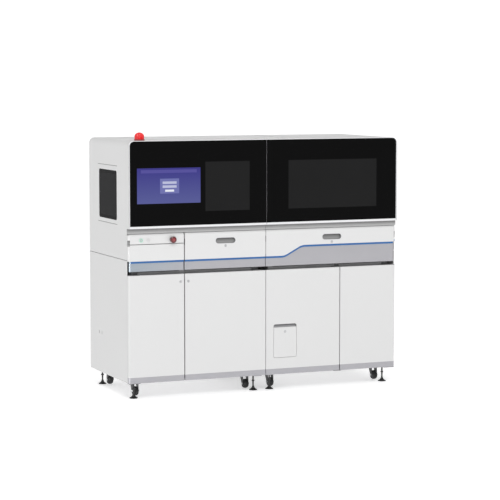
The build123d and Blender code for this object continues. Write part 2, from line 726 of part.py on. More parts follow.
def drawer_trim(x0, x1, line_for):
    """White front, blue stripe and silver band of one stretch. line_for gives the stripe's line."""
    top_line = line_for(0)
    low_line = line_for(STRIPE_H)
    fascia = roll_top(front_blank(x0, x1, 0, BAND_BOTTOM, DRAWER_TOP))
    fascia &= from_front(under_line(top_line, DRAWER_TOP), FRONT, FRONT_BACK)
    ends = band_ends(x0, x1)
    stripe = front_blank(*ends, STRIPE_SETBACK, BAND_BOTTOM, DRAWER_TOP)
    stripe &= from_front(under_line(top_line, BAND_BOTTOM) - under_line(low_line, BAND_BOTTOM), FRONT, FRONT_BACK)
    band = front_blank(*ends, BAND_SETBACK, BAND_BOTTOM, DRAWER_TOP)
    band &= from_front(under_line(low_line, BAND_BOTTOM), FRONT, FRONT_BACK)
    return fascia, stripe, band


def band_ends(x0, x1):
    """The band stops short of the side faces."""
    limit = MODULE_WIDTH - BAND_INSET
    return max(x0, -limit), min(x1, limit)


def level_line(x0, x1):
    """Line function of a stretch where the stripe is level."""
    return lambda drop: Line((x0, BAND_LOW - drop), (x1, BAND_LOW - drop))


def pull(x):
    """Recessed pull and lock bore of a drawer, to be cut from its front."""
    outline = Pos(x, PULL_Z) * SlotOverall(PULL_W, PULL_H)
    recess = from_front(outline, FRONT, FRONT + PULL_DEPTH)
    return recess + along_y(x, DRAWER_LOCK_Z, FRONT, FRONT + LOCK_DEPTH, LOCK_R - LOCK_PROUD + RUN)


def lock(x, z):
    """Key lock: a barrel in its bore and a flange on the face, with a key slot."""
    barrel = along_y(x, z, FRONT, FRONT + LOCK_DEPTH, LOCK_R - LOCK_PROUD)
    barrel += along_y(x, z, FRONT - LOCK_PROUD, FRONT, LOCK_R)
    key = block(x - KEY_W / 2, x + KEY_W / 2, FRONT - LOCK_PROUD, FRONT + KEY_DEPTH, z - KEY_H / 2, z + KEY_H / 2)
    return barrel - key


def build_fronts():
    left_x = (LEFT_SPLIT + LEFT_SEAM / 2, -HALF_SEAM)
    right_x = (HALF_SEAM, MODULE_WIDTH)
    for name, span, line_for in (
        ("drawer_front_left", left_x, level_line(*left_x)),
        ("drawer_front_right", right_x, climb),
    ):
        fascia, stripe, band = drawer_trim(*span, line_for)
        middle = sum(span) / 2
        save(name, fascia - pull(middle), stripe, band, lock(middle, DRAWER_LOCK_Z))
    build_control_panel()
    ledge = block(-MODULE_WIDTH, -HALF_SEAM / 2, FRONT + 5, FRONT_BACK + PANEL_GAP, LEDGE_BOTTOM, LEDGE_TOP)
    save("ledge_strips", ledge, mirrored(ledge))


def build_control_panel():
    """Fixed front over the narrow left door: bare panel below, control strip above."""
    span = (-MODULE_WIDTH, LEFT_SPLIT - LEFT_SEAM / 2)
    fascia, stripe, band = drawer_trim(*span, level_line(*span))
    lower = fascia & block(*span, FRONT, FRONT_BACK, BAND_LOW, CONTROL_SEAM - HALF_SEAM)
    upper = fascia & block(*span, FRONT, FRONT_BACK, CONTROL_SEAM + HALF_SEAM, DRAWER_TOP)
    back = FRONT_BACK + SHEET
    plate = block(span[0] + FLANGE, span[1], FRONT_BACK, back, BAND_BOTTOM, DRAWER_TOP)
    post = -MODULE_WIDTH + FRAME_INSET
    brackets = [block(x0, x0 + SHEET, back, FRAME_FRONT, BAND_BOTTOM, DRAWER_TOP)
                for x0 in (post, LEFT_SPLIT - MULLION / 2)]
    for x, radius in ((POWER_X, PLUNGER_R + FIT), (PORT_X, PLUNGER_R), (STOP_X, STOP_STEM_R + FIT)):
        upper -= along_y(x, BUTTON_Z, FRONT, FRONT_BACK, radius)
        plate -= along_y(x, BUTTON_Z, FRONT_BACK, back, radius)
    save("control_fascia", lower, upper, stripe, band, plate, *brackets)


# Drawer boxes and runners

def drawer_span(front_x):
    """Room between the runners' posts behind one drawer front."""
    if front_x[1] <= 0:
        return LEFT_SPLIT + MULLION / 2, -FRAME_INSET - TUBE
    return FRAME_INSET + TUBE, MODULE_WIDTH - FRAME_INSET - TUBE


def drawer_box(span):
    """Folded open box with its two moving runner members."""
    x0, x1 = span[0] + RAIL_W, span[1] - RAIL_W
    y0, y1 = FRONT_BACK, FRONT_BACK + BOX_DEPTH
    box = block(x0, x1, y0, y1, BOX_BOTTOM, BOX_TOP)
    box -= block(x0 + PAN, x1 - PAN, y0 + PAN, y1 - PAN, BOX_BOTTOM + PAN, BOX_TOP)
    members = [runner(x0, -1, False), runner(x1, 1, False)]
    return [box, *members]


def runner(x, out, fixed):
    """One runner member at a box side's x. out is the way from the box towards the post."""
    y0, y1 = FRAME_FRONT, FRAME_BACK
    lo, hi = RAIL_Z - RAIL_H / 2, RAIL_Z + RAIL_H / 2
    near, far = sorted((x, x + out * RAIL_W))
    if fixed:
        rail = block(near, far, y0, y1, lo, hi)
        cut_in = RAIL_LIP + FIT
        mouth = sorted((x, x + out * (RAIL_W - RAIL_LIP)))
        rail -= block(*mouth, y0, y1, lo + RAIL_LIP, hi - RAIL_LIP)
        gap = sorted((x, x + out * cut_in))
        return rail - block(*gap, y0, y1, lo, hi)
    slide = sorted((x, x + out * (RAIL_W - RAIL_LIP - FIT)))
    reach = RAIL_LIP + FIT
    return block(*slide, FRAME_FRONT, FRONT_BACK + BOX_DEPTH, lo + reach, hi - reach)


def build_drawers():
    rails = []
    for name, front_x in (("left", (LEFT_SPLIT, 0)), ("right", (0, MODULE_WIDTH))):
        span = drawer_span(front_x)
        save(f"drawer_box_{name}", *drawer_box(span))
        rails.append(runner(span[0] + RAIL_W, -1, True))
        rails.append(runner(span[1] - RAIL_W, 1, True))
    save("drawer_rails", *rails)


# Doors

def door_pan(x0, x1, z0, z1):
    """Folded sheet pan of a door, open at the back inside its returned edges."""
    t = PAN_T
    outer = front_blank(x0, x1, 0, z0, z1)
    rounded = [(x, FRONT + t, FRONT_R - t - RUN) for x in (x0 + t, x1 - t) if abs(x) > MODULE_WIDTH - FRONT_R]
    inner = from_below(rect(x0 + t, x1 - t, FRONT + t, FRONT_BACK - t, *rounded), z0 + t, z1 - t)
    edge = min(RETURN, (z1 - z0) / 3)
    mouth = block(x0 + RETURN, x1 - RETURN, FRONT_BACK - t, FRONT_BACK, z0 + edge, z1 - edge)
    return outer - inner - mouth


def hinge_block(pan_blank, pivot_x, z0, z1):
    """Solid block in a pan's corner, for the pivot pin."""
    return pan_blank & block(pivot_x - BUSH, pivot_x + BUSH, FRONT, FRONT_BACK, z0, z1)


def door(x0, x1, pivot_x, lock_x=None):
    """Pressed door, its silver kick strip and its lock. pivot_x is the upright hinge line."""
    leaf = door_pan(x0, x1, KICK_TOP, DOOR_TOP)
    kick = door_pan(x0, x1, CASE_BOTTOM, KICK_TOP)
    blank = front_blank(x0, x1, 0, CASE_BOTTOM, DOOR_TOP)
    y = FRONT + FRONT_T / 2
    depth = PIN_LENGTH + FIT
    leaf += hinge_block(blank, pivot_x, DOOR_TOP - depth - PAN_T, DOOR_TOP)
    kick += hinge_block(blank, pivot_x, CASE_BOTTOM, CASE_BOTTOM + depth + PAN_T)
    leaf -= upright(pivot_x, y, DOOR_TOP - depth, DOOR_TOP, PIN_R + RUN)
    kick -= upright(pivot_x, y, CASE_BOTTOM, CASE_BOTTOM + depth, PIN_R + RUN)
    if lock_x is None:
        return [leaf, kick]
    leaf -= along_y(lock_x, LOCK_HEIGHT, FRONT, FRONT + PAN_T, LOCK_R - LOCK_PROUD + RUN)
    return [leaf, kick, lock(lock_x, LOCK_HEIGHT)]


def hinge_pair(pivot_x, post):
    """Top and bottom pivot brackets of one door. post is the span of the tube they are bolted to."""
    y = FRONT + FRONT_T / 2
    reach = PIN_R + 3
    x0, x1 = min(pivot_x - reach, post[0]), max(pivot_x + reach, post[1])
    low = DOOR_TOP + FIT
    top = block(x0, x1, y - reach, FRAME_FRONT, low, low + BRACKET_T)
    top += block(*post, FRAME_FRONT - BRACKET_T, FRAME_FRONT, low, low + FLANGE)
    top += upright(pivot_x, y, DOOR_TOP - PIN_LENGTH, low, PIN_R)
    high = CASE_BOTTOM - FIT
    foot_plate = block(x0, x1, y - reach, FRAME_FRONT, high - BRACKET_T, high)
    foot_plate += block(*post, FRAME_FRONT - BRACKET_T, FRAME_FRONT, high, high + FLANGE)
    foot_plate += upright(pivot_x, y, high, CASE_BOTTOM + PIN_LENGTH, PIN_R)
    return [top, foot_plate]


def door_plan():
    """Each door's name, seam edges, hinge line, bracket post and lock place."""
    edge = MODULE_WIDTH
    outer = (edge - FRAME_INSET - TUBE, edge - FRAME_INSET)
    inner = (FRAME_INSET, FRAME_INSET + TUBE)
    mullion = (RIGHT_SPLIT - MULLION / 2, RIGHT_SPLIT + MULLION / 2)
    return (
        ("door_narrow_left", -edge, LEFT_SPLIT - LEFT_SEAM / 2, -edge + OUTER_PIVOT,
         (-outer[1], -outer[0]), LEFT_SPLIT - LOCK_FROM_SEAM),
        ("door_wide_left", LEFT_SPLIT + LEFT_SEAM / 2, -HALF_SEAM, -HALF_SEAM - INNER_PIVOT,
         (-inner[1], -inner[0]), LEFT_SPLIT + LOCK_FROM_SEAM),
        ("door_wide_right", HALF_SEAM, RIGHT_SPLIT - RIGHT_SEAM / 2, RIGHT_SPLIT - RIGHT_SEAM / 2 - INNER_PIVOT,
         mullion, None),
        ("door_narrow_right", RIGHT_SPLIT + RIGHT_SEAM / 2, edge, edge - OUTER_PIVOT, outer, None),
    )


def flap_opening(grow):
    """Outline of the flap's opening in X and Z."""
    wide = FLAP_X[1] - FLAP_X[0] + 2 * grow
    high = FLAP_Z[1] - FLAP_Z[0] + 2 * grow
    return Pos(sum(FLAP_X) / 2, sum(FLAP_Z) / 2) * RectangleRounded(wide, high, FLAP_R + grow)


def flap():
    """Waste flap: a panel with two hinge pins, a thin strip above it as finger recess, and a lock."""
    split_z = FLAP_Z[1] - FLAP_GRIP
    whole = from_front(flap_opening(-FLAP_GAP), FRONT, FRONT + FLAP_T)
    plate = whole & block(*FLAP_X, FRONT, FRONT + FLAP_T, FLAP_Z[0], split_z)
    grip = whole & block(*FLAP_X, FRONT + FLAP_T - SHEET, FRONT + FLAP_T, split_z, FLAP_Z[1])
    x, z = sum(FLAP_X) / 2, FLAP_Z[1] - FLAP_KEY_DROP
    plate -= along_y(x, z, FRONT, FRONT + FLAP_T - SHEET, LOCK_R - LOCK_PROUD + RUN)
    y, axis_z = FRONT + FLAP_AXIS_Y, FLAP_Z[0] + FLAP_GAP + FLAP_AXIS_Z + FLAP_R / 2
    plate += along_x(y, axis_z, FLAP_X[0] - FLAP_T / 2, FLAP_X[1] + FLAP_T / 2, PIN_R)
    barrel = along_y(x, z, FRONT, FRONT + FLAP_T - SHEET, LOCK_R - LOCK_PROUD)
    barrel += along_y(x, z, FRONT - LOCK_PROUD, FRONT, LOCK_R)
    return [plate, grip, barrel]


def cut_for_flap(leaf):
    """Opening, solid surround and pin bores for the flap in its door."""
    leaf += from_front(flap_opening(FLAP_SURROUND), FRONT, FRONT + FLAP_T)
    leaf -= from_front(flap_opening(0), FRONT, FRONT_BACK)
    axis_z = FLAP_Z[0] + FLAP_GAP + FLAP_AXIS_Z + FLAP_R / 2
    reach = FLAP_T / 2 + FIT
    return leaf - along_x(FRONT + FLAP_AXIS_Y, axis_z, FLAP_X[0] - reach, FLAP_X[1] + reach, PIN_R + RUN)


def build_doors():
    brackets = []
    for name, x0, x1, pivot_x, post, lock_x in door_plan():
        solids = door(x0, x1, pivot_x, lock_x)
        if name == "door_wide_right":
            solids[0] = cut_for_flap(solids[0])
        save(name, *solids)
        brackets.extend(hinge_pair(pivot_x, post))
    for arm in LID_ARMS:
        brackets.extend((lid_arm(-arm), lid_arm(arm)))
    save("hinge_brackets", *brackets)
    save("waste_flap", *flap())


# Buttons and beacon

def build_controls():
    """Push button, service port and emergency stop on the control strip, and the beacon."""
    face = FRONT - BEZEL_T
    bezel = along_y(POWER_X, BUTTON_Z, face, FRONT, BEZEL_R)
    bezel -= along_y(POWER_X, BUTTON_Z, face, FRONT, PLUNGER_R + FIT)
    port = along_y(PORT_X, BUTTON_Z, face, FRONT, PORT_R)
    port += along_y(PORT_X, BUTTON_Z, FRONT, FRONT_BACK, PLUNGER_R - RUN)
    port -= along_y(PORT_X, BUTTON_Z, face, FRONT, PORT_R / 2)
    collar = along_y(STOP_X, BUTTON_Z, FRONT - STOP_COLLAR_T, FRONT, STOP_COLLAR_R)
    collar -= along_y(STOP_X, BUTTON_Z, FRONT - STOP_COLLAR_T, FRONT, STOP_STEM_R + FIT)
    blocks = [switch_block(POWER_X, PLUNGER_R), switch_block(STOP_X, STOP_STEM_R)]
    save("panel_bezels", bezel, port, collar, *blocks)
    plunger = along_y(POWER_X, BUTTON_Z, face - PLUNGER_PROUD, STEM_END, PLUNGER_R)
    save("power_button", plunger)
    save("estop_button", stop_head())
    build_beacon()


def switch_block(x, radius):
    """Switch behind the control panel, with room for its button's stem and travel."""
    y0 = FRONT_BACK + SHEET
    half = BLOCK_HALF
    body = block(x - half, x + half, y0, FRAME_FRONT, BUTTON_Z - half, BUTTON_Z + half)
    return body - along_y(x, BUTTON_Z, y0, STEM_END + STOP_TRAVEL + FIT, radius + FIT)


def domed(radius, base, top, shoulder):
    """Turned knob along Z: straight up to the shoulder, then a round cap."""
    cap = top - shoulder
    sphere_r = (radius ** 2 + cap ** 2) / (2 * cap)
    return upright(0, 0, base, top, radius) & (Pos(0, 0, top - sphere_r) * Sphere(sphere_r))


def stop_head():
    """Mushroom head on its stem, domed towards the operator."""
    head = Rot(90, 0, 0) * domed(STOP_R, 0, STOP_HEAD_T, STOP_HEAD_T / 2)
    base = FRONT - BUTTON_REACH + STOP_HEAD_T
    return Pos(STOP_X, base, BUTTON_Z) * head + along_y(STOP_X, BUTTON_Z, base, STEM_END, STOP_STEM_R)


def build_beacon():
    """Low ring on the top sheet and a red dome on it."""
    y = GLASS_FACE + BEACON_BACK
    ring_top = CASE_TOP + BEACON_RING_H
    top = CASE_TOP + BEACON_HEIGHT
    dome = domed(BEACON_R - SHEET, ring_top, top, top - BEACON_CAP)
    save("beacon", upright(BEACON_X, y, CASE_TOP, ring_top, BEACON_R), Pos(BEACON_X, y, 0) * dome)


# Feet and casters

def corners():
    """Each foot's place, and which way is inwards from it."""
    places = []
    for side in (-1, 1):
        for x, into_x in ((FOOT_INSET_X, 1), (MODULE_WIDTH - FOOT_INSET_X, -1)):
            for y, into_y in ((FRONT + FOOT_INSET_Y, 1), (BACK - FOOT_INSET_Y, -1)):
                places.append((side * x, y, side * into_x, into_y))
    return places


def foot(x, y):
    """Levelling foot: a flared rubber pad, its stud up to the frame and the lock nut."""
    waist = (PAD_R * PAD_WAIST[0], PAD_RIM + (PAD_H - PAD_RIM) * PAD_WAIST[1])
    neck = STUD_R + NECK
    profile = make_face([
        *Polyline((0, 0), (PAD_R, 0), (PAD_R, PAD_RIM)).edges(),
        *ThreePointArc((PAD_R, PAD_RIM), waist, (neck, PAD_H)).edges(),
        *Polyline((neck, PAD_H), (0, PAD_H), (0, 0)).edges(),
    ])
    pad = Pos(x, y, 0) * revolve(Plane.XZ * profile, Axis.Z)
    stud = upright(x, y, PAD_H, FRAME_BOTTOM, STUD_R)
    for z in (NUT_Z, FRAME_BOTTOM - NUT_H):
        nut = RegularPolygon(NUT_R, 6)
        stud += Pos(x, y, z) * extrude(nut, amount=NUT_H)
    return [pad, stud]


def wheel(x, y):
    """Caster wheel: crowned tread, a recessed hub on each side and the axle bore."""
    half = WHEEL_W / 2
    bore = AXLE_R + RUN
    hub = WHEEL_R * HUB_SHARE
    ring, low = hub + HUB_RECESS, half - HUB_RECESS
    tread = WHEEL_R - TREAD_CROWN
    profile = make_face([
        *Polyline((bore, -half), (hub, -half), (hub, -low), (ring, -low), (ring, -half), (tread, -half)).edges(),
        *ThreePointArc((tread, -half), (WHEEL_R, 0), (tread, half)).edges(),
        *Polyline((tread, half), (ring, half), (ring, low), (hub, low), (hub, half),
                  (bore, half), (bore, -half)).edges(),
    ])
    turned = Rot(0, 90, 0) * revolve(Plane.XZ * profile, Axis.Z)
    return Pos(x, y, WHEEL_LIFT + WHEEL_R) * turned


def fork(x, stem_y, wheel_y):
    """Swivel fork: a crown turning on the kingpin, two tapering cheeks and the axle."""
    top = FRAME_BOTTOM - PLATE_T - FIT
    axle_z = WHEEL_LIFT + WHEEL_R
    inner = WHEEL_W / 2 + FORK_SIDE
    outer = inner + FORK_T
    reach = FORK_L / 2
    cheek = make_hull([
        *(Pos(stem_y, top - CROWN_T / 2) * Rectangle(FORK_L, CROWN_T)).edges(),
        *(Pos(wheel_y, axle_z) * Circle(AXLE_R * AXLE_BOSS)).edges(),
    ])
    body = block(x - outer, x + outer, stem_y - reach, stem_y + reach, top - CROWN_T, top)
    for x0 in (x - outer, x + inner):
        body += from_side(cheek, x0, x0 + FORK_T)
    body -= upright(x, stem_y, top - CROWN_T, top, KING_R + RUN)
    return body + along_x(wheel_y, axle_z, x - outer, x + outer, AXLE_R)


def kingpin(x, y):
    """Caster plate under the frame, with the kingpin that carries the fork."""
    top = FRAME_BOTTOM
    half = PLATE_W / 2
    plate = block(x - half, x + half, y - half, y + half, top - PLATE_T, top)
    crown_low = top - PLATE_T - FIT - CROWN_T
    plate += upright(x, y, crown_low - FIT, top - PLATE_T, KING_R)
    return plate + upright(x, y, crown_low - FIT - PLATE_T, crown_low - FIT, KING_HEAD)


def build_running_gear():
    feet, plates = [], []
    for number, (x, y, into_x, into_y) in enumerate(corners(), start=1):
        feet.extend(foot(x, y))
        wheel_x = x + into_x * CASTER_X
        wheel_y = y + into_y * CASTER_Y
        stem_y = wheel_y + into_y * TRAIL
        plates.append(kingpin(wheel_x, stem_y))
        save(f"caster_fork_{number}", fork(wheel_x, stem_y, wheel_y))
        save(f"caster_wheel_{number}", wheel(wheel_x, wheel_y))
    save("levelling_feet", *feet)
    save("caster_plates", *plates)


# Deck and gantry

def deck():
    """Left half of the deck: a sheet folded down along the front, behind the ledge."""
    x0, x1 = -MODULE_WIDTH + SKIN, -HALF_SEAM / 2
    y0 = FRONT_BACK + PANEL_GAP
    sheet = block(x0, x1, y0, FRAME_BACK - TUBE, DECK_RAIL_TOP, DECK_TOP)
    return sheet + block(x0, x1, y0, y0 + DECK_T, LEDGE_BOTTOM, DECK_RAIL_TOP)


def gantry_rail():
    """Long rail on the rear posts, with a guide groove along its front."""
    half = MODULE_WIDTH - GANTRY_END
    y1 = FRAME_BACK - TUBE
    rail = block(-half, half, y1 - RAIL_BOX, y1, GANTRY_TOP - RAIL_BOX, GANTRY_TOP)
    middle = GANTRY_TOP - RAIL_BOX / 2
    face = y1 - RAIL_BOX
    return rail - block(-half, half, face, face + GUIDE_DEPTH, middle - RAIL_GUIDE, middle + RAIL_GUIDE)


def bridge():
    """Saddle on the long rail and the arm that reaches forward from it."""
    rail_face = FRAME_BACK - TUBE - RAIL_BOX
    middle = GANTRY_TOP - RAIL_BOX / 2
    half = SADDLE_W / 2
    x = BRIDGE_X
    saddle = block(x - half, x + half, rail_face - FIT - SADDLE_T, rail_face - FIT,
                   GANTRY_TOP - RAIL_BOX, GANTRY_TOP)
    tongue = RAIL_GUIDE - FIT
    saddle += block(x - half, x + half, rail_face - FIT, rail_face + GUIDE_DEPTH - FIT, middle - tongue, middle + tongue)
    arm_w = BRIDGE_W / 2
    arm = block(x - arm_w, x + arm_w, GLASS_FACE + BRIDGE_FRONT, rail_face - FIT - SADDLE_T,
                middle - BRIDGE_H / 2, middle + BRIDGE_H / 2)
    slot = block(x - arm_w, x - arm_w + ARM_GUIDE_DEPTH, GLASS_FACE + BRIDGE_FRONT, rail_face,
                 middle - ARM_GUIDE, middle + ARM_GUIDE)
    return saddle + (arm - slot)


def y_carriage():
    """Carriage on the arm's left face, with the upright guide of the pipette head."""
    middle = GANTRY_TOP - RAIL_BOX / 2
    x1 = BRIDGE_X - BRIDGE_W / 2 - FIT
    x0 = x1 - CARRIAGE_T
    half = CARRIAGE_L / 2
    body = block(x0, x1, CARRIAGE_Y - half, CARRIAGE_Y + half, middle - BRIDGE_H / 2, middle + BRIDGE_H / 2)
    tongue = ARM_GUIDE - FIT
    body += block(x1, x1 + ARM_GUIDE_DEPTH, CARRIAGE_Y - half, CARRIAGE_Y + half, middle - tongue, middle + tongue)
    guide = block(x0, x1 - DECK_T, CARRIAGE_Y - CARRIAGE_GUIDE, CARRIAGE_Y + CARRIAGE_GUIDE,
                  HEAD_Z - HEAD_H / 2, middle)
    return body + guide


def pipette_head():
    """Eight-channel pipetting head with its nozzles in a row."""
    x1 = BRIDGE_X - BRIDGE_W / 2 - FIT - CARRIAGE_T - FIT
    x0 = x1 - HEAD_T
    half = HEAD_W / 2
    z0, z1 = HEAD_Z - HEAD_H / 2, HEAD_Z + HEAD_H / 2
    head = fillet(block(x0, x1, CARRIAGE_Y - half, CARRIAGE_Y + half, z0, z1).edges().filter_by(Axis.Z), HEAD_R)
    middle = (x0 + x1) / 2
    first = CARRIAGE_Y - NOZZLE_PITCH * (NOZZLES - 1) / 2
    for number in range(NOZZLES):
        y = first + number * NOZZLE_PITCH
        nozzle = Cone(NOZZLE_R * NOZZLE_TAPER, NOZZLE_R, NOZZLE_L)
        head += Pos(middle, y, z0 - NOZZLE_L / 2) * Rot(180, 0, 0) * nozzle
    return head


def build_deck():
    left = deck()
    save("deck_plates", left, mirrored(left))
    save("gantry_rail", gantry_rail())
    save("gantry_bridge", bridge())
    save("y_carriage", y_carriage())
    save("pipette_head", pipette_head())


# Extraction tower

def rod_places():
    """Centres of the rods, over the plate that stands on the heater."""
    y0 = TOWER_Y - TOWER_T / 2 - ARM_L / 2
    for column in range(RODS):
        for row in range(ROD_ROWS):
            x = TOWER_X + (column - (RODS - 1) / 2) * ROD_PITCH
            y = y0 + (row - (ROD_ROWS - 1) / 2) * ROD_PITCH
            yield x, y


def tower():
    """Column with two guide grooves, and the heater block in front of it."""
    half = TOWER_W / 2
    y0, y1 = TOWER_Y - TOWER_T / 2, TOWER_Y + TOWER_T / 2
    column = block(TOWER_X - half, TOWER_X + half, y0, y1, DECK_TOP, DECK_TOP + TOWER_H)
    for x in (TOWER_X - half / 2, TOWER_X + half / 2):
        column -= block(x - ARM_GUIDE, x + ARM_GUIDE, y0, y0 + GUIDE_DEPTH,
                        DECK_TOP + HEATER_H + PLATE_H, DECK_TOP + TOWER_H)
    heater_half = HEATER_L / 2
    heater = block(TOWER_X - heater_half, TOWER_X + heater_half, y0 - ARM_L - HEATER_LIP, y0,
                   DECK_TOP, DECK_TOP + HEATER_H)
    return column, heater


def lift(z, pitch_x):
    """Arm that slides on the tower, with tongues in the guide grooves."""
    y0 = TOWER_Y - TOWER_T / 2 - FIT
    half = TOWER_W / 2
    arm = block(TOWER_X - half, TOWER_X + half, y0 - ARM_L, y0, z, z + SLEEVE_T)
    x = TOWER_X + pitch_x
    tongue = ARM_GUIDE - FIT
    return arm + block(x - tongue, x + tongue, y0, y0 + GUIDE_DEPTH, z, z + SLEEVE_T * 2)


def sleeve_head():
    """Comb of thin sleeves that keep the rods dry."""
    head = lift(SLEEVE_Z, -TOWER_W / 4)
    for x, y in rod_places():
        head += upright(x, y, SLEEVE_Z - SLEEVE_L, SLEEVE_Z, SLEEVE_R)
    for x, y in rod_places():
        head -= upright(x, y, SLEEVE_Z - SLEEVE_L + PAN, SLEEVE_Z + SLEEVE_T, SLEEVE_R - SLEEVE_WALL)
    return head


def magnet_head():
    """Magnetic rods on their own arm, parked above the sleeves."""
    z = SLEEVE_Z + SLEEVE_T + ROD_LIFT
    head = lift(z, TOWER_W / 4)
    for x, y in rod_places():
        head += upright(x, y, z - ROD_L + PAN, z, ROD_R)
    return head


def well_plate(x, y, z):
    """Deep-well plate with square wells."""
    plate = block(x - PLATE_L / 2, x + PLATE_L / 2, y - PLATE_B / 2, y + PLATE_B / 2, z, z + PLATE_H)
    for column in range(RODS):
        for row in range(ROD_ROWS):
            wx = x + (column - (RODS - 1) / 2) * WELL_PITCH
            wy = y + (row - (ROD_ROWS - 1) / 2) * WELL_PITCH
            top = z + PLATE_H
            plate -= block(wx - WELL / 2, wx + WELL / 2, wy - WELL / 2, wy + WELL / 2, top - WELL_DEPTH, top)
    return plate


def tip_box(x, y):
    """Closed box of spare tips, with a tapered lid."""
    base = block(x - PLATE_L / 2, x + PLATE_L / 2, y - PLATE_B / 2, y + PLATE_B / 2, DECK_TOP, DECK_TOP + TIP_BOX_H)
    return chamfer(base.edges().group_by(Axis.Z)[-1], TIP_BOX_EDGE)


def tube_rack(x, y):
    """Sample rack with a row of capped tubes standing in it."""
    half_w, half_l = TUBE_RACK_W / 2, TUBE_PITCH * TUBES / 2
    foot_z = DECK_TOP + TUBE_RACK_FLOOR
    rack = block(x - half_w, x + half_w, y - half_l, y + half_l, DECK_TOP, DECK_TOP + TUBE_RACK_H)
    tubes = []
    for number in range(TUBES):
        place = y - half_l + (number + 0.5) * TUBE_PITCH
        rack -= upright(x, place, foot_z, DECK_TOP + TUBE_RACK_H, TUBE_R + FIT)
        tubes.append(upright(x, place, foot_z, DECK_TOP + TUBE_L, TUBE_R))
    return [rack, *tubes]


def build_tower():
    column, heater = tower()
    save("extraction_tower", column, heater)
    save("sleeve_head", sleeve_head())
    save("magnet_head", magnet_head())
    y = TOWER_Y - TOWER_T / 2 - ARM_L / 2
    pieces = [well_plate(TOWER_X, y, DECK_TOP + HEATER_H)]
    pieces.append(well_plate(TOWER_X + SPARE_PLATE_X, y, DECK_TOP))
    for x in TIP_BOX_X:
        pieces.append(tip_box(TOWER_X + x, y))
    pieces.extend(tube_rack(TOWER_X + TUBE_RACK_X, y))
    save("labware", *pieces)


# Power unit and waste bin

def build_services():
    """Mains inlet in the back with its supply box inside, and the bin behind the flap."""
    x0, x1 = INLET_X - INLET_W / 2, INLET_X + INLET_W / 2
    z0, z1 = INLET_Z - INLET_H / 2, INLET_Z + INLET_H / 2
    inside = BACK - SHEET
    inlet = block(x0 + FIT, x1 - FIT, inside, BACK, z0 + FIT, z1 - FIT)
    supply = block(x0 - SUPPLY_MARGIN, x1 + SUPPLY_MARGIN, inside - SUPPLY_DEPTH, inside,
                   FLOOR_Z + PAN_FLOOR, z1 + SUPPLY_MARGIN)
    socket = block(INLET_X - SOCKET_HALF, INLET_X + SOCKET_HALF, BACK - INLET_DEPTH, BACK,
                   z0 + INLET_EDGE, z1 - INLET_EDGE)
    supply -= socket
    inlet -= socket
    for x, z in PINS:
        x0, z0 = INLET_X + x - PIN_W / 2, INLET_Z + z - PIN_H / 2
        supply += block(x0, x0 + PIN_W, BACK - INLET_DEPTH, BACK - PIN_SHY, z0, z0 + PIN_H)
    save("power_unit", supply + inlet)
    y0 = FRONT + BIN_FROM_DOOR
    z0 = FLOOR_Z + PAN_FLOOR
    bin_solid = block(*BIN_X, y0, y0 + BIN_DEPTH, z0, z0 + BIN_H)
    bin_solid -= block(BIN_X[0] + PAN, BIN_X[1] - PAN, y0 + PAN, y0 + BIN_DEPTH - PAN, z0 + PAN, z0 + BIN_H)
    save("waste_bin", bin_solid)


os.makedirs("parts", exist_ok=True)
build_frames()
build_panels()
build_hoods()
build_lids()
build_fronts()
build_drawers()
build_doors()
build_controls()
build_running_gear()
build_deck()
build_tower()
build_services()
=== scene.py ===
import math

import bpy
import numpy as np
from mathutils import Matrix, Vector


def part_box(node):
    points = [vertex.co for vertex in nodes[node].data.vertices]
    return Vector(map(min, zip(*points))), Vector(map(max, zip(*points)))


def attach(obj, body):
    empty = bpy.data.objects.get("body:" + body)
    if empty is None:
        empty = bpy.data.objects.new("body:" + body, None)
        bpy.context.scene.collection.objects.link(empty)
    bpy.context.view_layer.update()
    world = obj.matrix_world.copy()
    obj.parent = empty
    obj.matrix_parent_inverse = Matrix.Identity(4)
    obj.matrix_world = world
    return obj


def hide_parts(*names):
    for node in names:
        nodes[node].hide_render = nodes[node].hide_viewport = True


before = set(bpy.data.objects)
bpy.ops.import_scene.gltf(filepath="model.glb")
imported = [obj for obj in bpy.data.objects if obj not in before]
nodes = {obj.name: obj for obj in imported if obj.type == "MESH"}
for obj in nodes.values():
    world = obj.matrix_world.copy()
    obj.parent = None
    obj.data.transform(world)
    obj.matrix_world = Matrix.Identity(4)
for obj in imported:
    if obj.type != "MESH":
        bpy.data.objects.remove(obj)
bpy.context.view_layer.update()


# Painted hoods, side panels and back panels.
# Folded steel sheet with a fine-grained white powder coat, baked on before the panels are
# screwed to the frames.

def node(finish, kind, inputs=(), **settings):
    """Adds one shader node. inputs pairs a socket's name or number with a value or with a socket to link."""
    made = finish.node_tree.nodes.new(kind)
    for name, value in settings.items():
        setattr(made, name, value)
    for name, value in inputs:
        if isinstance(value, bpy.types.NodeSocket):
            finish.node_tree.links.new(value, made.inputs[name])
        else:
            made.inputs[name].default_value = value
    return made


def math_node(finish, operation, first, second=0.0):
    """Output of one arithmetic step on two numbers or sockets."""
    return node(finish, "ShaderNodeMath", ((0, first), (1, second)), operation=operation).outputs[0]


def place(finish):
    """Sockets of the point's place in the row frame: the vector, then X, Y and Z."""
    vector = node(finish, "ShaderNodeTexCoord").outputs["Object"]
    parts = node(finish, "ShaderNodeSeparateXYZ", (("Vector", vector),)).outputs
    return vector, parts["X"], parts["Y"], parts["Z"]


def between(finish, value, low, high):
    """1 where the value lies between two limits, 0 elsewhere."""
    above = math_node(finish, "GREATER_THAN", value, low)
    below = math_node(finish, "LESS_THAN", value, high)
    return math_node(finish, "MULTIPLY", above, below)


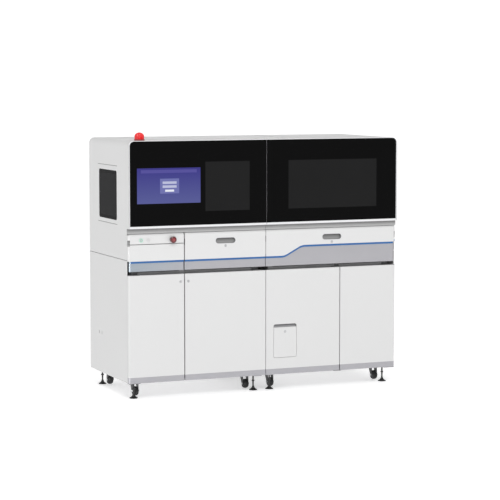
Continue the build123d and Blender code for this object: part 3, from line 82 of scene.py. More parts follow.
def tint(finish, mask, where_0, where_1):
    """Colour that goes from one to the other with the mask."""
    mix = node(finish, "ShaderNodeMix", (("Factor", mask),), data_type="RGBA")
    for name, colour in (("A", where_0), ("B", where_1)):
        socket = next(s for s in mix.inputs if s.name == name and s.type == "RGBA")
        if isinstance(colour, bpy.types.NodeSocket):
            finish.node_tree.links.new(colour, socket)
        else:
            socket.default_value = (*colour, 1)
    return next(s for s in mix.outputs if s.type == "RGBA")


def grain(finish, vector, scale, detail=2.0):
    """Noise between 0 and 1 at so many cycles a metre."""
    made = node(finish, "ShaderNodeTexNoise", (("Vector", vector), ("Scale", scale), ("Detail", detail)))
    return made.outputs["Fac"]


def spread(finish, value, low, high):
    """Maps 0 to 1 onto low to high."""
    return node(finish, "ShaderNodeMapRange", (("Value", value), ("To Min", low), ("To Max", high))).outputs[0]


def ramp(finish, value, low, high):
    """0 at low, rising evenly to 1 at high."""
    sockets = (("Value", value), ("From Min", low), ("From Max", high))
    return node(finish, "ShaderNodeMapRange", sockets).outputs[0]


def start_finish(name, metallic=0.0, coat=0.0, specular=0.5):
    """A material with its shader's constant sockets set, and the shader itself."""
    finish = bpy.data.materials.new(name)
    finish.use_nodes = True
    shader = finish.node_tree.nodes["Principled BSDF"]
    shader.inputs["Metallic"].default_value = metallic
    shader.inputs["Coat Weight"].default_value = coat
    shader.inputs["Specular IOR Level"].default_value = specular
    return finish, shader


def join(finish, shader, colour=None, roughness=None, bump=None, bump_height=0.0):
    """Links colour, roughness and a bump of that height in metres to the shader."""
    if colour is not None:
        finish.node_tree.links.new(colour, shader.inputs["Base Color"])
    if roughness is not None:
        finish.node_tree.links.new(roughness, shader.inputs["Roughness"])
    if bump is not None:
        lift = node(finish, "ShaderNodeBump", (("Height", bump), ("Distance", bump_height), ("Strength", 1.0)))
        finish.node_tree.links.new(lift.outputs["Normal"], shader.inputs["Normal"])


# Cycles a metre of the coat's drift in tone, its gloss and its fine texture, and that texture's height.
DRIFT = 1.6
GLOSS_GRAIN = 35.0
COAT_GRAIN = 900.0
COAT_HEIGHT = 0.00006
COAT_ROUGH = (0.42, 0.52)
COAT_SPECULAR = 0.4


def powder_coat(name, colour, worn, rough=COAT_ROUGH):
    """Powder coat: fine grain, and a broad faint drift in tone from colour to worn."""
    finish, shader = start_finish(name, specular=COAT_SPECULAR)
    vector, _, _, _ = place(finish)
    join(finish, shader, tint(finish, grain(finish, vector, DRIFT), colour, worn),
         spread(finish, grain(finish, vector, GLOSS_GRAIN), *rough),
         grain(finish, vector, COAT_GRAIN), COAT_HEIGHT)
    return finish


def dress(finish, *names):
    """Gives CAD nodes a finish."""
    for name in names:
        data = nodes[name].data
        data.materials.clear()
        data.materials.append(finish)


WHITE = (0.72, 0.72, 0.72)
WHITE_WORN = (0.70, 0.70, 0.70)
panel_paint = powder_coat("panel_paint", WHITE, WHITE_WORN)
dress(panel_paint, "side_panel_left", "side_panel_right", "back_panel_left", "back_panel_right")

# The hoods have the same coat. The floor and walls of the two shallow grooves beside each side window are coloured
# near black, as painted shade in the grooves.
GROOVES = ((1.0510, 1.0550), (1.4070, 1.4110))
GROOVE_DEPTH = (0.8985, 0.8996)
GROOVE_SHADE = (0.10, 0.10, 0.10)
hood_paint, hood_shader = start_finish("hood_paint", specular=COAT_SPECULAR)
hood_vector, hood_x, _, hood_z = place(hood_paint)
groove = math_node(hood_paint, "MAXIMUM", *[between(hood_paint, hood_z, *span) for span in GROOVES])
sunk = between(hood_paint, math_node(hood_paint, "ABSOLUTE", hood_x), *GROOVE_DEPTH)
groove = math_node(hood_paint, "MULTIPLY", groove, sunk)
hood_colour = tint(hood_paint, grain(hood_paint, hood_vector, DRIFT), WHITE, WHITE_WORN)
# Painted shade: the grooves' faces take a near-black colour in place of the shade that falls in them.
join(hood_paint, hood_shader, tint(hood_paint, groove, hood_colour, GROOVE_SHADE),
     spread(hood_paint, grain(hood_paint, hood_vector, GLOSS_GRAIN), *COAT_ROUGH),
     grain(hood_paint, hood_vector, COAT_GRAIN), COAT_HEIGHT)
dress(hood_paint, "housing_left", "housing_right")


# Doors.
# Powder-coated pans with a silver kick strip below and a plated key lock near the seam.

SILVER = (0.47, 0.465, 0.49)
SILVER_DARK = (0.42, 0.415, 0.44)
PLATED = (0.55, 0.55, 0.56)
DOOR_WHITE = (0.73, 0.73, 0.73)
DOOR_WHITE_WORN = (0.715, 0.715, 0.715)
KICK_TOP = 0.1362
LOCK_REACH = 0.0085
METAL_SHARE = 0.6


def square_from(finish, first, second, centre):
    """Square of the distance from an axis, from the two coordinates across it."""
    sides = [math_node(finish, "SUBTRACT", value, middle) for value, middle in zip((first, second), centre)]
    return math_node(finish, "ADD", *[math_node(finish, "MULTIPLY", side, side) for side in sides])


def near_lock(finish, x, z, centres):
    """1 close to any of the lock centres, seen from the front."""
    mask = None
    for centre in centres:
        here = math_node(finish, "LESS_THAN", square_from(finish, x, z, centre), LOCK_REACH ** 2)
        mask = here if mask is None else math_node(finish, "MAXIMUM", mask, here)
    return mask


def door_finish(name, locks=()):
    """White pan, silver strip under KICK_TOP, plated metal at the locks."""
    finish, shader = start_finish(name, specular=COAT_SPECULAR)
    vector, x, _, z = place(finish)
    strip = math_node(finish, "LESS_THAN", z, KICK_TOP)
    coat = tint(finish, grain(finish, vector, DRIFT), DOOR_WHITE, DOOR_WHITE_WORN)
    metal = tint(finish, grain(finish, vector, 6.0), SILVER, SILVER_DARK)
    colour = tint(finish, strip, coat, metal)
    shiny = strip
    if locks:
        plated = near_lock(finish, x, z, locks)
        colour = tint(finish, plated, colour, PLATED)
        shiny = math_node(finish, "MAXIMUM", strip, plated)
    finish.node_tree.links.new(math_node(finish, "MULTIPLY", shiny, METAL_SHARE), shader.inputs["Metallic"])
    join(finish, shader, colour, spread(finish, grain(finish, vector, GLOSS_GRAIN), 0.38, 0.48),
         grain(finish, vector, COAT_GRAIN), COAT_HEIGHT)
    return finish


LOCK_HEIGHT = 0.7092
LOCK_FROM_SEAM = 0.025
seam_left = (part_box("door_narrow_left")[1].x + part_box("door_wide_left")[0].x) / 2
door_locks = [(seam_left + side * LOCK_FROM_SEAM, LOCK_HEIGHT) for side in (-1, 1)]
dress(door_finish("door_paint_left", door_locks), "door_narrow_left", "door_wide_left")
dress(door_finish("door_paint_right"), "door_wide_right", "door_narrow_right")


# Waste flap.
# Moulded cover in the wide right door, with a finger recess along its top and its own key lock. The recess is
# coloured with painted shade, darkest at its top.

flap_low, flap_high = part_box("waste_flap")
FLAP_LOCK_Z = 0.3667
flap_lock = ((flap_low.x + flap_high.x) / 2, FLAP_LOCK_Z)
GRIP_BOTTOM = 0.3942
GRIP_TOP = 0.4122

flap_finish, flap_shader = start_finish("flap_plastic")
flap_vector, flap_x, flap_y, flap_z = place(flap_finish)
flap_dark = math_node(flap_finish, "GREATER_THAN", flap_z, GRIP_BOTTOM)
flap_colour = tint(flap_finish, grain(flap_finish, flap_vector, 3.0), (0.73, 0.73, 0.73), (0.71, 0.71, 0.71))
# Painted shade in the finger recess: grey at its foot, near black under its top edge.
recess_shade = tint(flap_finish, ramp(flap_finish, flap_z, GRIP_BOTTOM, GRIP_TOP),
                    (0.42, 0.42, 0.43), (0.06, 0.06, 0.065))
flap_colour = tint(flap_finish, flap_dark, flap_colour, recess_shade)
flap_plated = near_lock(flap_finish, flap_x, flap_z, (flap_lock,))
flap_colour = tint(flap_finish, flap_plated, flap_colour, PLATED)
join(flap_finish, flap_shader, flap_colour,
     spread(flap_finish, grain(flap_finish, flap_vector, 50.0), 0.35, 0.45),
     grain(flap_finish, flap_vector, 700.0), 0.00005)
dress(flap_finish, "waste_flap")


# Drawer row and control panel.
# Moulded white fronts over a silver band, with a blue stripe between them that climbs in an S on the right.

BLUE = (0.014, 0.105, 0.330)
BLUE_LIGHT = (0.022, 0.150, 0.420)
BAND_BLUISH = (0.36, 0.41, 0.46)
BLUISH_SPAN = (-0.90, -0.45)
FRONT_Y = -0.351
PULL_Z = 0.950
CUP_DEPTH = (FRONT_Y + 0.001, FRONT_Y + 0.0145)
CUP_SPAN = (PULL_Z - 0.019, PULL_Z + 0.019)
CUP_SHADE = (PULL_Z - 0.014, PULL_Z + 0.018)
ROW_WHITE = (0.74, 0.74, 0.74)
ROW_WORN = (0.725, 0.725, 0.725)
STRIPE_LOW = 0.8414
CLIMB = 0.0627
CLIMB_SPAN = (0.1047, 0.267)
STRIPE_DEPTH = (-0.3495, -0.3455)
STRIPE_OVER = 0.0005
STRIPE_UNDER = 0.0145
ROW_LOCK_Z = 0.918


def row_finish(name, locks, climbs):
    """White above the stripe, with painted shade in the pull's recess, darkest at its top. Below, blue or silver
    by how deep the surface lies.
    """
    finish, shader = start_finish(name, coat=0.15)
    vector, x, y, z = place(finish)
    line = STRIPE_LOW + STRIPE_OVER
    if climbs:
        sockets = (("Value", x), ("From Min", CLIMB_SPAN[0]), ("From Max", CLIMB_SPAN[1]),
                   ("To Min", line), ("To Max", line + CLIMB))
        rise = node(finish, "ShaderNodeMapRange", sockets, interpolation_type="SMOOTHSTEP").outputs[0]
        line = math_node(finish, "ADD", rise, STRIPE_UNDER)
    low = math_node(finish, "LESS_THAN", z, line)
    set_back = math_node(finish, "GREATER_THAN", y, STRIPE_DEPTH[0])
    deep = math_node(finish, "GREATER_THAN", y, STRIPE_DEPTH[1])
    white = tint(finish, grain(finish, vector, 1.8), ROW_WHITE, ROW_WORN)
    blue = tint(finish, grain(finish, vector, 4.0), BLUE, BLUE_LIGHT)
    silver = tint(finish, grain(finish, vector, 6.0), SILVER, SILVER_DARK)
    trim = math_node(finish, "MULTIPLY", low, set_back)
    band = math_node(finish, "MULTIPLY", low, deep)
    plated = near_lock(finish, x, z, locks)
    silver = tint(finish, ramp(finish, x, *BLUISH_SPAN), BAND_BLUISH, silver)
    # Painted shade in the pull's recess: grey low down, near black under its top edge.
    above = math_node(finish, "SUBTRACT", 1.0, low)
    cup = math_node(finish, "MULTIPLY", above, between(finish, y, *CUP_DEPTH))
    cup = math_node(finish, "MULTIPLY", cup, between(finish, z, *CUP_SPAN))
    shade = tint(finish, ramp(finish, z, *CUP_SHADE), (0.36, 0.36, 0.36), (0.10, 0.10, 0.10))
    white = tint(finish, cup, white, shade)
    colour = tint(finish, plated, tint(finish, band, tint(finish, trim, white, blue), silver), PLATED)
    metal = math_node(finish, "MULTIPLY", math_node(finish, "MAXIMUM", band, plated), METAL_SHARE)
    finish.node_tree.links.new(metal, shader.inputs["Metallic"])
    join(finish, shader, colour, spread(finish, grain(finish, vector, 40.0), 0.30, 0.40),
         grain(finish, vector, 700.0), 0.00004)
    return finish


left_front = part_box("drawer_front_left")
right_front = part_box("drawer_front_right")
left_pull_x = (left_front[0].x + left_front[1].x) / 2
right_pull_x = (right_front[0].x + right_front[1].x) / 2
left_row_lock = (left_pull_x, ROW_LOCK_Z)
right_row_lock = (right_pull_x, ROW_LOCK_Z)
dress(row_finish("row_left", (left_row_lock,), False), "drawer_front_left", "control_fascia")
dress(row_finish("row_right", (right_row_lock,), True), "drawer_front_right")


# Pull rims.
# A thin moulded lip clips round each drawer's pill-shaped recess.

def add_piece(name, points, finish, body, close_rows=False, close_columns=False):
    """Mesh of a grid of points, rows by columns. A closed direction joins its last line to its first."""
    rows, columns = points.shape[:2]
    r = np.arange(rows if close_rows else rows - 1)
    c = np.arange(columns if close_columns else columns - 1)
    rr, cc = np.meshgrid(r, c, indexing="ij")
    r2, c2 = (rr + 1) % rows, (cc + 1) % columns
    quads = np.stack([rr * columns + cc, r2 * columns + cc, r2 * columns + c2, rr * columns + c2], -1)
    quads = quads.reshape(-1, 4)
    mesh = bpy.data.meshes.new(name)
    mesh.from_pydata(points.reshape(-1, 3).tolist(), [], quads.tolist())
    mesh.polygons.foreach_set("use_smooth", np.ones(len(quads), bool))
    mesh.materials.append(finish)
    mesh.update()
    piece = bpy.data.objects.new(name, mesh)
    bpy.context.scene.collection.objects.link(piece)
    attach(piece, body)
    return piece


def pill_path(width, height, count=96):
    """Closed outline of two half circles and two straight runs: points and outward normals in X and Z."""
    radius = height / 2
    angle = np.linspace(0, 2 * np.pi, count, endpoint=False)
    normal = np.stack([np.cos(angle), np.sin(angle)], -1)
    shift = np.where(normal[:, :1] >= 0, 1, -1) * (width / 2 - radius)
    return normal * radius + np.concatenate([shift, np.zeros_like(shift)], 1), normal


RIM_FOOT = 0.0004


def rim(name, centre, face_y, outline, normal, half_width, height, finish, body):
    """A half-round section, half_width each side of the outline and so high, carried round it on a face."""
    t = np.linspace(0, 2 * np.pi, 16, endpoint=False)
    across = half_width * np.cos(t)
    up = np.maximum(height * np.sin(t), -RIM_FOOT)
    flat = outline[:, None, :] + normal[:, None, :] * across[None, :, None]
    points = np.stack([centre[0] + flat[..., 0], np.broadcast_to(face_y - up, flat.shape[:2]),
                       centre[1] + flat[..., 1]], -1)
    return add_piece(name, points, finish, body, True, True)


LOCK_PROUD = 0.0015
FACE_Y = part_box("drawer_front_right")[0].y + LOCK_PROUD
PULL = (0.133, 0.037)
LIP = (0.0016, 0.0010)
lip_finish = powder_coat("pull_lip", (0.72, 0.72, 0.74), (0.70, 0.70, 0.72), (0.3, 0.4))
pull_outline, pull_normal = pill_path(*PULL)
for side, pull_x in (("left", left_pull_x), ("right", right_pull_x)):
    rim(f"pull_lip_{side}", (pull_x, PULL_Z), FACE_Y, pull_outline, pull_normal, *LIP,
        lip_finish, f"drawer_{side}")


# Ledge strip.
# Grey moulded strip along the deck's front edge, under the glass fronts, with painted shadow that darkens it
# towards its top under their overhang.

LEDGE_SPAN = (1.008, 1.038)
ledge, ledge_shader = start_finish("ledge_plastic")
ledge_vector, _, _, ledge_z = place(ledge)
# Painted shadow: the grey darkens towards the top, under the overhang of the glass fronts.
ledge_colour = tint(ledge, ramp(ledge, ledge_z, *LEDGE_SPAN), (0.46, 0.46, 0.46), (0.19, 0.19, 0.19))
join(ledge, ledge_shader, ledge_colour, spread(ledge, grain(ledge, ledge_vector, 60.0), 0.45, 0.55),
     grain(ledge, ledge_vector, 800.0), 0.00005)
dress(ledge, "ledge_strips")


# Glass fronts.
# Each is one black-backed pane in a white frame, with a smoked window left clear of the black.

def front_glass(name, x_span, z_span):
    """Glossy pane, near black, a little lighter inside the window."""
    finish, shader = start_finish(name, specular=0.02)
    vector, x, _, z = place(finish)
    window = math_node(finish, "MULTIPLY", between(finish, x, *x_span), between(finish, z, *z_span))
    smoke = tint(finish, grain(finish, vector, 2.5), (0.0175, 0.0175, 0.0178), (0.0145, 0.0145, 0.0148))
    join(finish, shader, tint(finish, window, (0.0046, 0.0046, 0.0047), smoke),
         spread(finish, grain(finish, vector, 12.0), 0.10, 0.16), grain(finish, vector, 3.0), 0.00008)
    return finish


WINDOW_Z = (1.135, 1.435)
dress(front_glass("front_glass_left", (-0.4065, -0.115), WINDOW_Z), "lid_glass_left")
dress(front_glass("front_glass_right", (0.1464, 0.7535), WINDOW_Z), "lid_glass_right")
lid_paint = powder_coat("lid_paint", (0.82, 0.82, 0.835), (0.79, 0.79, 0.81), (0.3, 0.4))
dress(lid_paint, "lid_frame_left", "lid_frame_right")


# Side windows.
# Smoked panes clamped in the hoods' sides, with a black printed border.

side_glass, side_shader = start_finish("side_glass", specular=0.01)
side_vector, _, side_y, side_z = place(side_glass)
PANE_Y = (-0.148, 0.1865)
PANE_Z = (1.0778, 1.3794)
BORDER = 0.022
clear = math_node(side_glass, "MULTIPLY", between(side_glass, side_y, PANE_Y[0] + BORDER, PANE_Y[1] - BORDER),
                  between(side_glass, side_z, PANE_Z[0] + BORDER, PANE_Z[1] - BORDER))
side_smoke = tint(side_glass, grain(side_glass, side_vector, 3.0),
                  (0.0150, 0.0150, 0.0160), (0.0120, 0.0120, 0.0130))
side_dark = tint(side_glass, clear, (0.005, 0.005, 0.0055), side_smoke)
join(side_glass, side_shader, side_dark, spread(side_glass, grain(side_glass, side_vector, 10.0), 0.10, 0.16))
dress(side_glass, "side_windows")


# Display.
# Flat panel set flush in the left glass. Its picture is a plain sign-in box on a violet-blue ground.

screen_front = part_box("touchscreen")[0].y
SCREEN_X = (-0.8466, -0.4386)
SCREEN_Z = (1.188, 1.4016)
screen_case, screen_case_shader = start_finish("screen_case")
case_vector, _, _, _ = place(screen_case)
case_colour = tint(screen_case, grain(screen_case, case_vector, 8.0),
                   (0.012, 0.012, 0.014), (0.018, 0.018, 0.02))
join(screen_case, screen_case_shader, case_colour,
     spread(screen_case, grain(screen_case, case_vector, 90.0), 0.3, 0.45))
dress(screen_case, "touchscreen")

picture, picture_shader = start_finish("screen_picture")
_, pic_x, _, pic_z = place(picture)
pic_u = ramp(picture, pic_x, *SCREEN_X)
pic_v = ramp(picture, pic_z, *SCREEN_Z)


def picture_area(u0, u1, v0, v1):
    """1 inside a rectangle given in shares of the picture's width and height."""
    return math_node(picture, "MULTIPLY", between(picture, pic_u, u0, u1), between(picture, pic_v, v0, v1))


ground = tint(picture, pic_v, (0.095, 0.105, 0.30), (0.045, 0.040, 0.235))
glow = tint(picture, picture_area(0.06, 0.94, 0.86, 0.95), ground, (0.09, 0.08, 0.32))
card = tint(picture, picture_area(0.36, 0.66, 0.28, 0.70), glow, (0.16, 0.17, 0.42))
FIELD = (0.50, 0.52, 0.70)
field_1 = tint(picture, picture_area(0.40, 0.62, 0.55, 0.62), card, FIELD)
field_2 = tint(picture, picture_area(0.40, 0.62, 0.44, 0.51), field_1, FIELD)
shown = tint(picture, picture_area(0.44, 0.58, 0.33, 0.39), field_2, (0.80, 0.82, 0.90))
picture.node_tree.links.new(shown, picture_shader.inputs["Emission Color"])
picture_shader.inputs["Emission Strength"].default_value = 1.0
picture_shader.inputs["Base Color"].default_value = (0.004, 0.004, 0.006, 1)
picture_shader.inputs["Specular IOR Level"].default_value = 0.04
picture_shader.inputs["Roughness"].default_value = 0.12


def round_rect_panel(x_span, z_span, radius, y, crown, rings=8, count=96):
    """Rounded rectangle in rings: each is the outline times k, forward by crown times 1 less k squared."""
    half = np.array([(x_span[1] - x_span[0]) / 2 - radius, (z_span[1] - z_span[0]) / 2 - radius])
    angle = np.linspace(0, 2 * np.pi, count, endpoint=False) + np.pi / count
    normal = np.stack([np.cos(angle), np.sin(angle)], -1)
    outline = normal * radius + np.sign(normal) * half
    k = np.linspace(1, 0.001, rings)[:, None, None]
    flat = outline[None] * k
    depth = y - crown * (1 - k[..., 0] ** 2) * np.ones((1, count))
    centre = (sum(x_span) / 2, sum(z_span) / 2)
    return np.stack([centre[0] + flat[..., 0], depth, centre[1] + flat[..., 1]], -1)


SCREEN_CORNER = 0.003
SCREEN_CROWN = 0.0002
screen_points = round_rect_panel(SCREEN_X, SCREEN_Z, SCREEN_CORNER, screen_front - SCREEN_CROWN, SCREEN_CROWN)
add_piece("screen_face", screen_points, picture, "lid_left", False, True)


# Start button, service port and emergency stop.
# Plastic operators in the control strip: a lit ring round the start button, a grey round port, a red mushroom.

LIT = (0.36, 0.62, 0.50)
DOME = (0.004, 0.014)
LIT_RING = (0.0052, 0.0072)
PORT_LEFT_OF = -0.70
START_LEFT_OF = -0.794
RING_R = 0.0112
RING_SECTION = (0.0014, 0.0010)
RING_PROUD = 0.0025


def radius_from(finish, first, second, centre):
    """Distance from an axis, from the two coordinates across it."""
    return math_node(finish, "SQRT", square_from(finish, first, second, centre))


stop_low, stop_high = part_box("estop_button")
stop_centre = ((stop_low.x + stop_high.x) / 2, (stop_low.z + stop_high.z) / 2)
stop_red, stop_shader = start_finish("stop_red", coat=0.3)
stop_vector, stop_x, _, stop_z = place(stop_red)
stop_r = radius_from(stop_red, stop_x, stop_z, stop_centre)
# Painted highlight and painted shade on the mushroom: lighter red at the dome's middle, darker towards its rim.
stop_colour = tint(stop_red, ramp(stop_red, stop_r, *DOME), (0.34, 0.05, 0.055), (0.105, 0.006, 0.010))
join(stop_red, stop_shader, stop_colour,
     spread(stop_red, grain(stop_red, stop_vector, 300.0), 0.28, 0.38))
dress(stop_red, "estop_button")

start_low, start_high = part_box("power_button")
start_centre = ((start_low.x + start_high.x) / 2, (start_low.z + start_high.z) / 2)
start_cap, start_shader = start_finish("start_cap")
start_vector, start_x, _, start_z = place(start_cap)
start_r = radius_from(start_cap, start_x, start_z, start_centre)
join(start_cap, start_shader, tint(start_cap, between(start_cap, start_r, *LIT_RING), (0.55, 0.57, 0.57), LIT),
     spread(start_cap, grain(start_cap, start_vector, 300.0), 0.25, 0.35))
dress(start_cap, "power_button")

bezels, bezel_shader = start_finish("bezel_plastic")
bezel_vector, bezel_x, _, _ = place(bezels)
port_side = math_node(bezels, "LESS_THAN", bezel_x, PORT_LEFT_OF)
lit_side = math_node(bezels, "LESS_THAN", bezel_x, START_LEFT_OF)
bezel_colour = tint(bezels, port_side, (0.16, 0.15, 0.15), (0.66, 0.66, 0.66))
bezel_colour = tint(bezels, lit_side, bezel_colour, (0.60, 0.64, 0.62))
join(bezels, bezel_shader, bezel_colour, spread(bezels, grain(bezels, bezel_vector, 200.0), 0.35, 0.5),
     grain(bezels, bezel_vector, 900.0), 0.00004)
dress(bezels, "panel_bezels")

lit_ring, lit_shader = start_finish("lit_ring")
lit_vector, _, _, _ = place(lit_ring)
lit_colour = tint(lit_ring, grain(lit_ring, lit_vector, 120.0), LIT, (0.42, 0.68, 0.56))
join(lit_ring, lit_shader, lit_colour)
lit_ring.node_tree.links.new(lit_colour, lit_shader.inputs["Emission Color"])
lit_shader.inputs["Emission Strength"].default_value = 0.35
ring_angle = np.linspace(0, 2 * np.pi, 72, endpoint=False)
ring_normal = np.stack([np.cos(ring_angle), np.sin(ring_angle)], -1)
rim("start_ring", start_centre, FACE_Y - RING_PROUD, ring_normal * RING_R, ring_normal, *RING_SECTION,
    lit_ring, "machine")


# Beacon.
# Red ribbed lens on a low dark red ring that is screwed to the top sheet, lit from inside while
# the machine runs.

beacon_low, beacon_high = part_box("beacon")
beacon_x = (beacon_low.x + beacon_high.x) / 2
beacon_y = (beacon_low.y + beacon_high.y) / 2
BEACON_R = (beacon_high.x - beacon_low.x) / 2


def turned(profile, count=72):
    """A profile of radius and height, turned about the beacon's upright axis."""
    angle = np.linspace(0, 2 * np.pi, count, endpoint=False)
    radius, height = profile[:, :1], profile[:, 1:]
    return np.stack([beacon_x + radius * np.cos(angle), beacon_y + radius * np.sin(angle),
                     height * np.ones((1, count))], -1)


BASE_HEIGHT = 0.008
RIB_DEPTH = 0.0005
RIBS = 14
SHOULDER = 0.42
POLE = 0.00005
LENS_R = BEACON_R - 0.002
lens_floor = beacon_low.z + BASE_HEIGHT
lens_height = beacon_high.z - lens_floor
lens_t = np.linspace(0, 1, 120)
ribs = RIB_DEPTH * np.cos(2 * np.pi * lens_t * RIBS) * np.clip(4 * (1 - lens_t), 0, 1)
wall_t = np.clip(lens_t * 2, 0, 1)
cap_turn = np.clip((lens_t - 0.5) * 2, 0, 1) * np.pi / 2
lens_radius = np.maximum((LENS_R + ribs) * np.cos(cap_turn), POLE)
lens_rise = lens_height * (SHOULDER * wall_t + (1 - SHOULDER) * np.sin(cap_turn)) - 0.0002 * lens_t
lens_profile = np.stack([lens_radius, lens_floor + lens_rise], -1)
lens_red, lens_shader = start_finish("lens_red", coat=0.4)
lens_vector, _, _, lens_z = place(lens_red)
lens_fade = ramp(lens_red, lens_z, lens_floor, beacon_high.z)
lens_colour = tint(lens_red, lens_fade, (0.56, 0.008, 0.010), (0.70, 0.014, 0.018))
join(lens_red, lens_shader, lens_colour, spread(lens_red, grain(lens_red, lens_vector, 200.0), 0.15, 0.25))
lens_red.node_tree.links.new(lens_colour, lens_shader.inputs["Emission Color"])
lens_shader.inputs["Emission Strength"].default_value = 0.35
lens = add_piece("beacon_lens", turned(lens_profile)[:, ::-1], lens_red, "machine", False, True)

base_profile = np.array([(0.0001, 0.0), (BEACON_R - 0.0006, 0.0), (BEACON_R, 0.0006), (BEACON_R, 0.0070),
                         (BEACON_R - 0.0010, BASE_HEIGHT), (LENS_R - 0.0015, BASE_HEIGHT),
                         (0.0001, BASE_HEIGHT)])
base_profile[:, 1] += beacon_low.z
base_red, base_shader = start_finish("beacon_base_plastic")
base_vector, _, _, _ = place(base_red)
base_colour = tint(base_red, grain(base_red, base_vector, 20.0), (0.30, 0.03, 0.03), (0.26, 0.025, 0.025))
join(base_red, base_shader, base_colour, spread(base_red, grain(base_red, base_vector, 300.0), 0.35, 0.5))
base_points = turned(base_profile)[:, ::-1]
base_ring = add_piece("beacon_base", base_points, base_red, "machine", False, True)
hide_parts("beacon")
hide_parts("beacon")


# Frames, brackets, runners, feet and caster plates.
# Welded square tube under white paint, zinc-plated fittings screwed to it, and black forks and feet.

frame_paint = powder_coat("frame_paint", (0.52, 0.52, 0.53), (0.47, 0.47, 0.48), (0.45, 0.6))
dress(frame_paint, "base_frame_left", "base_frame_right")


def plated_steel(name, colour, shade, rough):
    """Zinc-plated steel: cloudy tone from a coarse noise, and a fine scratch in the roughness."""
    finish, shader = start_finish(name, metallic=0.85)
    vector, _, _, _ = place(finish)
    join(finish, shader, tint(finish, grain(finish, vector, 25.0, 4.0), colour, shade),
         spread(finish, grain(finish, vector, 260.0, 4.0), *rough), grain(finish, vector, 500.0), 0.00003)
    return finish


zinc = plated_steel("zinc_plate", (0.60, 0.60, 0.61), (0.47, 0.48, 0.49), (0.28, 0.42))
dress(zinc, "drawer_rails", "caster_plates", "drawer_box_left", "drawer_box_right")
dress(powder_coat("bracket_paint", (0.20, 0.20, 0.205), (0.16, 0.16, 0.165), (0.4, 0.5)), "hinge_brackets")
dress(powder_coat("fork_paint", (0.018, 0.018, 0.019), (0.012, 0.012, 0.013), (0.25, 0.4)),
      *[f"caster_fork_{number}" for number in range(1, 9)])

feet, feet_shader = start_finish("levelling_foot")
feet_vector, _, _, feet_z = place(feet)
PAD_TOP = 0.0262
pad = math_node(feet, "LESS_THAN", feet_z, PAD_TOP)
feet_colour = tint(feet, pad, (0.030, 0.030, 0.031), (0.008, 0.008, 0.0085))
join(feet, feet_shader, feet_colour, spread(feet, grain(feet, feet_vector, 200.0), 0.35, 0.5),
     grain(feet, feet_vector, 600.0), 0.00004)
dress(feet, "levelling_feet")


# Caster wheels.
# Dark moulded treads on lighter hubs, each turning on its fork's axle.

HUB_R = 0.0175


def wheel_finish(name, centre):
    """Tread or hub by distance from the wheel's own axle, which runs along X."""
    finish, shader = start_finish(name)
    vector, _, y, z = place(finish)
    radius = radius_from(finish, y, z, (centre.y, centre.z))
    hub = math_node(finish, "LESS_THAN", radius, HUB_R)
    join(finish, shader, tint(finish, hub, (0.010, 0.010, 0.011), (0.075, 0.075, 0.08)),
         spread(finish, grain(finish, vector, 150.0), 0.4, 0.6), grain(finish, vector, 500.0), 0.00006)
    return finish


for number in range(1, 9):
    wheel_low, wheel_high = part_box(f"caster_wheel_{number}")
    dress(wheel_finish(f"wheel_plastic_{number}", (wheel_low + wheel_high) / 2), f"caster_wheel_{number}")


# Deck, gantry and extraction tower.
# Clear-anodised aluminium plate and extrusion, with moulded covers on the moving heads.

def anodised(name, colour, shade, stretch):
    """Brushed metal: noise stretched along one axis gives the brush lines."""
    finish, shader = start_finish(name, metallic=0.9)
    vector, _, _, _ = place(finish)
    drawn = node(finish, "ShaderNodeMapping", (("Vector", vector), ("Scale", stretch))).outputs[0]
    lines = grain(finish, drawn, 300.0, 3.0)
    join(finish, shader, tint(finish, lines, colour, shade), spread(finish, lines, 0.25, 0.40), lines, 0.00002)
    return finish


deck_metal = anodised("deck_plate", (0.66, 0.67, 0.68), (0.58, 0.59, 0.60), (0.02, 1, 1))
tower_metal = anodised("tower_plate", (0.62, 0.63, 0.65), (0.54, 0.55, 0.57), (1, 1, 0.02))
head_cover = powder_coat("head_cover", (0.78, 0.79, 0.80), (0.74, 0.75, 0.77), (0.3, 0.4))
carriage_cover = powder_coat("carriage_cover", (0.05, 0.052, 0.056), (0.04, 0.042, 0.045), (0.4, 0.5))
bin_plastic = powder_coat("bin_plastic", (0.20, 0.205, 0.21), (0.17, 0.175, 0.18), (0.45, 0.6))
labware_plastic = powder_coat("labware_plastic", (0.72, 0.74, 0.76), (0.66, 0.69, 0.72), (0.35, 0.45))
dress(deck_metal, "deck_plates", "gantry_rail", "gantry_bridge")
dress(tower_metal, "extraction_tower", "magnet_head")
dress(head_cover, "pipette_head", "sleeve_head")
dress(carriage_cover, "y_carriage", "power_unit")
dress(bin_plastic, "waste_bin")
dress(labware_plastic, "labware")


# Belt of the long rail.
# Toothed rubber belt laid flat on the rail, between a flanged pulley at each end.

ALONG_Y = (0.0, 1.0, 0.0)
ALONG_Z = (0.0, 0.0, 1.0)


def carried(section, x, y, z):
    """A closed section carried along X: each step has its x, y plus the point's width, z plus its height."""
    path = np.stack([x, np.full_like(x, y), z * np.ones_like(x)], -1)
    across = section[None, :, :1] * np.array(ALONG_Y) + section[None, :, 1:] * np.array(ALONG_Z)
    return path[:, None, :] + across


def closed_ends(grid):
    """The grid with copies of its end rings drawn together to their middles, so both ends are closed."""
    ends = [np.broadcast_to(ring.mean(0), ring.shape) * 0.9999 + ring * 0.0001 for ring in (grid[0], grid[-1])]
    return np.concatenate([ends[0][None], grid, ends[1][None]])


